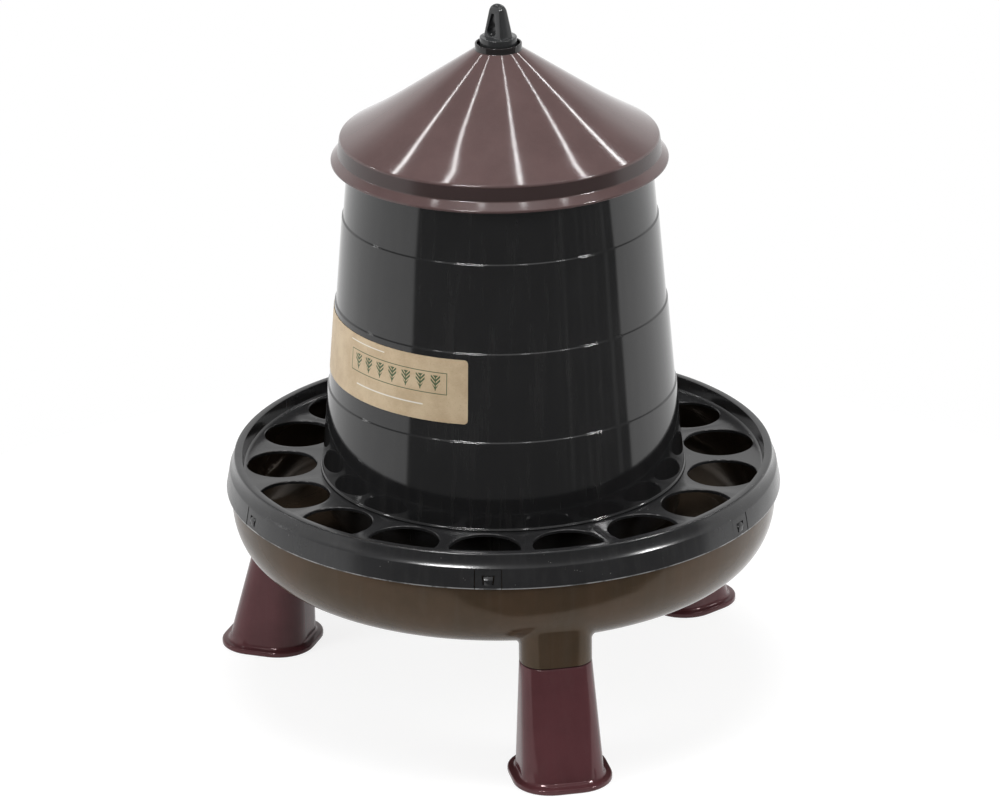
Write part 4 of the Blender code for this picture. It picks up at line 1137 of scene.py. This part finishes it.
def make_strip(name, first, last, power):
    """A long narrow lamp over the lid, that runs past two directions."""
    first, last = Vector(first).normalized(), Vector(last).normalized()
    towards = (first + last).normalized()
    along = last - first
    along = (along - along.dot(towards) * towards).normalized()
    turn = Matrix((along, towards.cross(along), towards)).transposed().to_euler()
    place = Vector((0.0, 0.0, STRIP_AIM_Z)) + towards * LAMP_DISTANCE
    hang_lamp(name, "RECTANGLE", STRIP_SIZE, power, place, turn)


def make_lights():
    for number, (first, last) in enumerate(STRIPS, 1):
        make_strip(f"ceiling_strip_{number}", first, last, 5.0)
    for number, direction in enumerate(FLANGE_GLINTS, 1):
        make_lamp(f"flange_lamp_{number}", direction, (0.26, 0.26), 2.0, 3.15)
    make_lamp("front_lamp", (-0.340, -0.720, 0.600), (1.00, 0.16), 48.0)
    make_lamp("right_lamp", (0.786, -0.358, 0.503), (0.55, 0.14), 32.0)
    make_lamp("left_lamp", (-0.900, 0.200, 0.380), (0.10, 0.60), 3.4)
    make_lamp("top_fill", (0.0, 0.0, 1.0), (1.20, 1.20), 33.0, 2.2, fill=True)
    make_lamp("left_fill", (-0.90, -0.45, 0.35), (1.40, 1.40), 37.0, fill=True)
    make_lamp("right_fill", (0.90, -0.35, 0.40), (1.40, 1.40), 32.0, fill=True)


def make_camera():
    camera = bpy.data.cameras.new("camera")
    camera.lens = LENS
    camera.sensor_width = SENSOR
    camera.clip_end = 50.0
    obj = put_in_scene("camera", camera)
    turn = Matrix.Rotation(QUARTER - CAMERA_PITCH, 4, "X") @ Matrix.Rotation(CAMERA_ROLL, 4, "Z")
    obj.matrix_world = Matrix.Translation(CAMERA_PLACE) @ turn
    bpy.context.scene.camera = obj


TURNING = turning_tree()
PIERCING = piercing_tree()
REPEATING = repeating_tree()

# The tray's boss foot is painted dark as painted shade in the gap at the legs, and faces inside the tray
# get painted shade
TRAY_PLASTIC = moulded_plastic(
    "tray_plastic_taupe", (0.061, 0.043, 0.027), 0.15, 0.10, 0.03, wave=0.0006, tint=(0.065, 0.042, 0.026),
    painted_foot_light_and_shade=(BOSS_Z + 0.0006, (0.008, 0.006, 0.006), 0.0), painted_shade_inside=True, ior=1.38,
    gleam=(1.0, 0.84, 0.70, 1.0))
# The ring's skirt foot gets a broken painted highlight
RING_PLASTIC = moulded_plastic(
    "ring_plastic_black", (0.020, 0.020, 0.021), 0.19, 0.12, 0.03, specks=0.3, wave=0.0004,
    painted_foot_light_and_shade=(SKIRT_Z + 0.0008, (0.30, 0.30, 0.30), 0.75))
EYE_PLASTIC = moulded_plastic("eye_plastic_black", (0.034, 0.035, 0.036), 0.15, 0.10, 0.03, 0.00001)
BARREL_PLASTIC = moulded_plastic(
    "hopper_plastic_black", (0.0138, 0.0138, 0.0143), 0.065, 0.08, 0.035, 0.000003, wave=0.0003, lean=0.042,
    ior=1.57)
# The lid's wall under the brim is duller and darkened with painted shade
LID_PLASTIC = moulded_plastic(
    "lid_plastic_brown", (0.107, 0.067, 0.065), 0.085, 0.07, 0.02, 0.000008,
    cap=(LID_COLLAR_RADIUS + 0.00025, LID_COLLAR_FOOT_Z - 0.0005, (0.020, 0.017, 0.017)),
    dull_painted_shade_under=LID_EDGE_Z - 0.0006)
LEG_PLASTIC = moulded_plastic(
    "leg_plastic_maroon", (0.086, 0.030, 0.034), 0.10, 0.08, 0.02, 0.000004, wave=0.0003, ior=1.46,
    gleam=(1.0, 0.76, 0.76, 1.0))
KRAFT = kraft_paper("label_kraft")
STEEL = zinc_steel("zinc_plated_steel")
THREADED = zinc_steel("zinc_plated_thread", THREAD_PITCH)

make_tray()
make_catch_lugs()
make_ring()
make_hopper()
make_label()
make_lid()
make_eye()
make_legs()
for name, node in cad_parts.items():
    finish = None
    if name.startswith("clip_tongue"):
        finish = RING_PLASTIC
    elif name == "hanger_rod":
        finish = THREADED
    elif "nut" in name or "washer" in name:
        finish = STEEL
    if finish:
        for slot in node.material_slots:
            slot.material = finish
make_floor()
make_world()
make_lights()
make_camera()
bpy.context.scene.view_settings.view_transform = "Standard"
